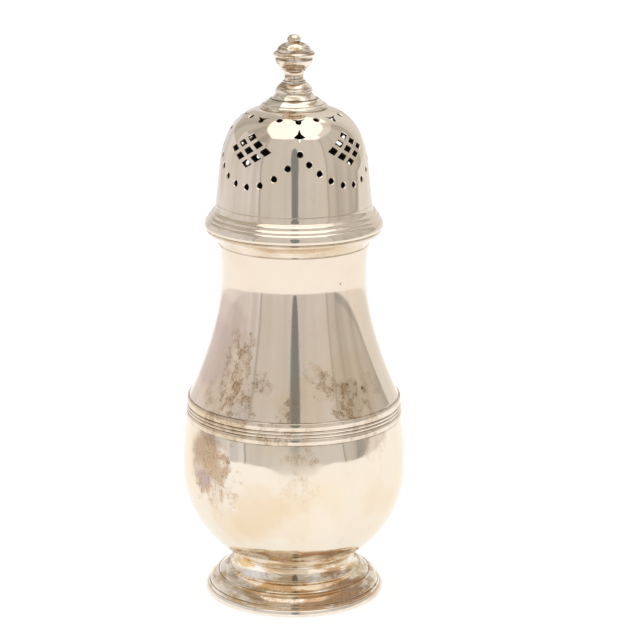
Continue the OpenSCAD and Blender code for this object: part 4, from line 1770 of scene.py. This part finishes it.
@dataclass
class Tent:
    """A white light tent: a front with a slit and seams, a long left side, a right side and the back.

    Attributes:
        tent_r: Distance of the tent's cloth from the caster.
        front_half: Half angle of the cloth in front.
        front_h: Height of the cloth in front, at its middle.
        corner_h: Height of the front's left and right corners.
        left_top: Height of the left cloth at the angles where its hem starts to rise and ends.
        right_top: The same for the right cloth.
        back_end: Angle at which the cloths meet behind the caster.
        hem: Angles at which the side cloths' hems start to rise and end.
        hem_h: How far the right hem rises.
        left_hem: How far the left hem rises.
        hem_thick: Width of the dark binding of the right hem, at its low and its high end.
        sweep_h: Height of the paper sweep behind the hems.
        sweep_turn: Height at which the left sweep falls into shade.
        sweep_behind: How far the sweep stands behind the cloth.
        upper_left: First, middle and last angle of the two upper cloths on the left.
        upper_left_low: Height of the hem of each of them.
        upper_left_top: Height of the first one's top at its first and last angle.
        upper_right: First and last angle of the upper cloth on the right.
        upper_right_low: Height of its hem at each of them.
        upper_right_top: Height of its top at each of them.
        upper_ahead: How far the upper cloths hang inside the others.
        seam_half: Half angle of the seams.
        seam_ahead: How far the seams and the binding stand inside the cloth.
        slit_middle: Angle of the slit's middle.
        slit_ahead: How far the slit stands inside the cloth.
        slit: Half angle of the slit and height, from its low end up.
    """

    tent_r: float = 500.0
    front_half: float = 51.0
    front_h: float = 800.0
    corner_h: Point = (690.0, 640.0)
    left_top: Point = (850.0, 1150.0)
    right_top: Point = (690.0, 800.0)
    back_end: float = 180.0
    hem: Point = (66.0, 126.0)
    hem_h: float = 120.0
    left_hem: float = 62.0
    hem_thick: Point = (45.0, 4.0)
    sweep_h: float = 150.0
    sweep_turn: float = 70.0
    sweep_behind: float = 8.0
    upper_left: Point3 = (-54.0, -112.0, -168.0)
    upper_left_low: Point = (480.0, 260.0)
    upper_left_top: Point = (730.0, 1150.0)
    upper_right: Point = (60.0, 130.0)
    upper_right_low: Point = (660.0, 720.0)
    upper_right_top: Point = (820.0, 1060.0)
    upper_ahead: float = 4.0
    seam_half: float = 1.1
    seam_ahead: float = 6.0
    slit_middle: float = 1.2
    slit_ahead: float = 10.0
    slit: tuple[Point, ...] = ((2.2, 10.0), (3.7, 64.0), (4.8, 130.0), (5.7, 220.0), (6.2, 320.0), (5.4, 395.0),
                               (3.8, 430.0), (0.8, 456.0))

    def panel(self, name: str, radius: float, corners: Sequence[PanelRow], cloth: bpy.types.Material) -> None:
        """A panel of cloth round the caster, which the camera looks through.

        Args:
            name: Name of the panel.
            radius: Distance from the caster.
            corners: Left angle, right angle, and height of both, for each line from the hem to the top.
            cloth: Its material.
        """
        rows = len(corners)
        bpy.ops.object.select_all(action="DESELECT")
        bpy.ops.mesh.primitive_grid_add(x_subdivisions=PANEL_COLUMNS, y_subdivisions=rows - 1, size=2.0)
        sheet = bpy.context.active_object
        sheet.name = name
        for vertex in sheet.data.vertices:
            line = corners[round((vertex.co.y + 1.0) / 2.0 * (rows - 1))]
            share = (vertex.co.x + 1.0) / 2.0
            angle = math.radians(line[0] + (line[1] - line[0]) * share)
            height = line[2] + (line[3] - line[2]) * share
            vertex.co = (radius * MM * math.sin(angle), -radius * MM * math.cos(angle), height * MM)
        sheet.data.materials.append(cloth)
        sheet.visible_camera = sheet.visible_diffuse = sheet.visible_shadow = False

    def side_cloths(self) -> list[Curtain]:
        """The tent's own cloths, all round the caster.

        Returns:
            The panels.
        """
        front, end = self.front_half, self.back_end
        start, stop = self.hem
        left_h, right_h = self.corner_h
        left_near, left_far = self.left_top
        right_near, right_far = self.right_top
        lift, arch = self.left_hem, self.hem_h
        plain, left, right = Cloth.FRONT_CLOTH, Cloth.LEFT_CLOTH, Cloth.RIGHT_CLOTH
        return [
            Curtain("tent_front_left", plain, (-front, 0.0), (0.0, 0.0), (left_h, self.front_h)),
            Curtain("tent_front_right", plain, (0.0, front), (0.0, 0.0), (self.front_h, right_h)),
            Curtain("tent_left", left, (-front, -start), (0.0, 0.0), (left_h, left_near)),
            Curtain("tent_left_end", left, (-start, -stop), (0.0, lift), (left_near, left_far)),
            Curtain("tent_left_back", left, (-stop, -end), (lift, lift), (left_far, left_far)),
            Curtain("tent_right", right, (front, start), (0.0, 0.0), (right_h, right_near)),
            Curtain("tent_right_end", right, (start, stop), (0.0, arch), (right_near, right_far)),
            Curtain("tent_back", Cloth.BACK_CLOTH, (stop, end), (arch, arch), (right_far, right_far)),
        ]

    def sweeps(self) -> list[Curtain]:
        """The paper sweeps behind the hems.

        Returns:
            The panels.
        """
        start, end, turn, upper = self.hem[0], self.back_end, self.sweep_turn, self.sweep_h
        left, right, ahead = (-start, -end), (start, end), -self.sweep_behind
        return [
            Curtain("sweep_left", Cloth.LEFT_SWEEP_PAPER, left, (0.0, 0.0), (turn, turn), ahead),
            Curtain("sweep_left_top", Cloth.LEFT_SWEEP_SHADE, left, (turn, turn), (upper, upper), ahead),
            Curtain("sweep_right", Cloth.SWEEP_PAPER, right, (0.0, 0.0), (upper, upper), ahead),
        ]

    def upper_cloths(self) -> list[Curtain]:
        """The cloths that hang above the sides.

        Returns:
            The panels.
        """
        shade, light, ahead = Cloth.LEFT_TOP_CLOTH, Cloth.RIGHT_TOP_CLOTH, self.upper_ahead
        first, middle, last = self.upper_left
        low, back_low = self.upper_left_low
        near, far = self.upper_left_top
        return [
            Curtain("tent_top_left", shade, (first, middle), (low, low), (near, far), ahead),
            Curtain("tent_top_left_back", shade, (middle, last), (back_low, back_low), (far, far), ahead),
            Curtain("tent_top_right", light, self.upper_right, self.upper_right_low, self.upper_right_top, ahead),
        ]

    def bindings(self) -> list[Curtain]:
        """The dark seams beside the front, and the binding of the right hem.

        Returns:
            The panels.
        """
        dark, half, ahead = Cloth.SEAM_SHADE, self.seam_half, self.seam_ahead
        sides = (("seam_left", -self.front_half), ("seam_right", self.front_half))
        seams = [Curtain(name, dark, (middle - half, middle + half), (0.0, 0.0), (upper, upper), ahead)
                 for (name, middle), upper in zip(sides, self.corner_h)]
        wide, narrow = self.hem_thick
        hem = Curtain("hem_right", dark, self.hem, (0.0, self.hem_h), (wide, self.hem_h + narrow), ahead)
        return [*seams, hem]

    def hang(self) -> None:
        """Hangs all the cloths, and the slit last."""
        cloths = {cloth: cloth.material() for cloth in Cloth}
        for curtain in (*self.side_cloths(), *self.sweeps(), *self.upper_cloths(), *self.bindings()):
            self.panel(curtain.name, self.tent_r - curtain.ahead, curtain.rows(), cloths[curtain.cloth])
        middle = self.slit_middle
        rows = [(middle - half, middle + half, z, z) for half, z in self.slit]
        self.panel("slit", self.tent_r - self.slit_ahead, rows, cloths[Cloth.SLIT_SHADE])


@dataclass
class Studio:
    """A pale floor in a white light tent, with the lights and the camera.

    Attributes:
        tent: The tent.
        lens: Focal length of the camera.
        distance: From the camera to the point it looks at.
        pitch: How far the camera looks down.
        aim_h: Height of the point it looks at.
        shift: Sideways shift of the frame.
        room_glow: Strength of the light from all round.
        lamp_place: Place of the softbox overhead.
        lamp_side: Side of the softbox.
        lamp_power: Power of the softbox.
        floor_side: Side of the floor.
        floor_tone: Tone of the floor's paper.
        floor_rough: Roughness of the paper.
        floor_glow: Strength of the light from below the paper.
    """

    tent: Tent = field(default_factory=Tent)
    lens: float = 135.0
    distance: float = 760.3
    pitch: float = 15.03
    aim_h: float = 89.4
    shift: float = 26.0 / PICTURE_WIDTH
    room_glow: float = 1.03
    lamp_place: Point3 = (0.0, -300.0, 1650.0)
    lamp_side: float = 2600.0
    lamp_power: float = 7.0
    floor_side: float = 8000.0
    floor_tone: float = 0.27
    floor_rough: float = 0.9
    floor_glow: float = 0.765

    def camera(self) -> None:
        """Adds the camera at the photograph's angle."""
        pitch = math.radians(self.pitch)
        aim = Vector((0.0, 0.0, self.aim_h * MM))
        back = Vector((0.0, -math.cos(pitch), math.sin(pitch)))
        bpy.ops.object.camera_add(location=aim + back * self.distance * MM)
        camera = bpy.context.active_object
        camera.rotation_euler = (-back).to_track_quat("-Z", "Y").to_euler()
        camera.data.sensor_width = SENSOR_WIDTH
        camera.data.lens = self.lens
        camera.data.shift_x = self.shift
        bpy.context.scene.camera = camera

    def floor_paper(self) -> bpy.types.Material:
        """White paper, lit from below as on a light table, so that its shadows stay faint.

        Returns:
            The material.
        """
        made = bpy.data.materials.new("floor_paper")
        bench, tone = NodeBench(made), self.floor_tone
        shader = bench.node("ShaderNodeBsdfPrincipled")
        for name, value in (
            ("Base Color", (tone, tone, tone, 1.0)),
            ("Roughness", self.floor_rough),
            ("Specular IOR Level", 0.0),
            ("Emission Color", WHITE),
            ("Emission Strength", self.floor_glow),
        ):
            shader.inputs[name].default_value = value
        bench.surface(shader.outputs["BSDF"])
        return made

    def build(self) -> None:
        """Adds the floor, the tent, the lights and the camera."""
        scene = bpy.context.scene
        scene.view_settings.view_transform = "Standard"
        world = bpy.data.worlds.new("pale_room")
        world.use_nodes = True
        background = world.node_tree.nodes["Background"]
        background.inputs["Color"].default_value = WHITE
        background.inputs["Strength"].default_value = self.room_glow
        scene.world = world
        bpy.ops.object.select_all(action="DESELECT")
        bpy.ops.mesh.primitive_plane_add(size=self.floor_side * MM)
        floor = bpy.context.active_object
        floor.name = "pale_floor"
        floor.data.materials.append(self.floor_paper())
        self.tent.hang()
        bpy.ops.object.light_add(type="AREA", location=[side * MM for side in self.lamp_place])
        lamp = bpy.context.active_object
        lamp.name = "overhead_softbox"
        lamp.data.shape = "SQUARE"
        lamp.data.size = self.lamp_side * MM
        lamp.data.energy = self.lamp_power
        self.camera()
        log.info("studio ready")


def main() -> None:
    """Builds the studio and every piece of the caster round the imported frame."""
    logging.basicConfig(level=logging.INFO, format="%(name)s: %(message)s")
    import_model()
    Studio().build()
    # Dark inside finish: tarnish plus painted shade
    tarnish_and_shade_lining = DULL_TARNISH_AND_SHADE_FINISH.material()
    curve = BowlCurve()
    moulding = MOULDING_FINISH.material()
    Foot(curve).build(FOOT_FINISH.material(), BASE_FINISH.material(), tarnish_and_shade_lining)
    Body(curve).build(BOWL_FINISH.material(), NECK_FINISH.material(), moulding, tarnish_and_shade_lining)
    Cover().build(COVER_FINISH.material(), tarnish_and_shade_lining)
    Finial().build(FINIAL_FINISH.material(), BOSS_FINISH.material(), tarnish_and_shade_lining)


if __name__ == "__main__":
    main()
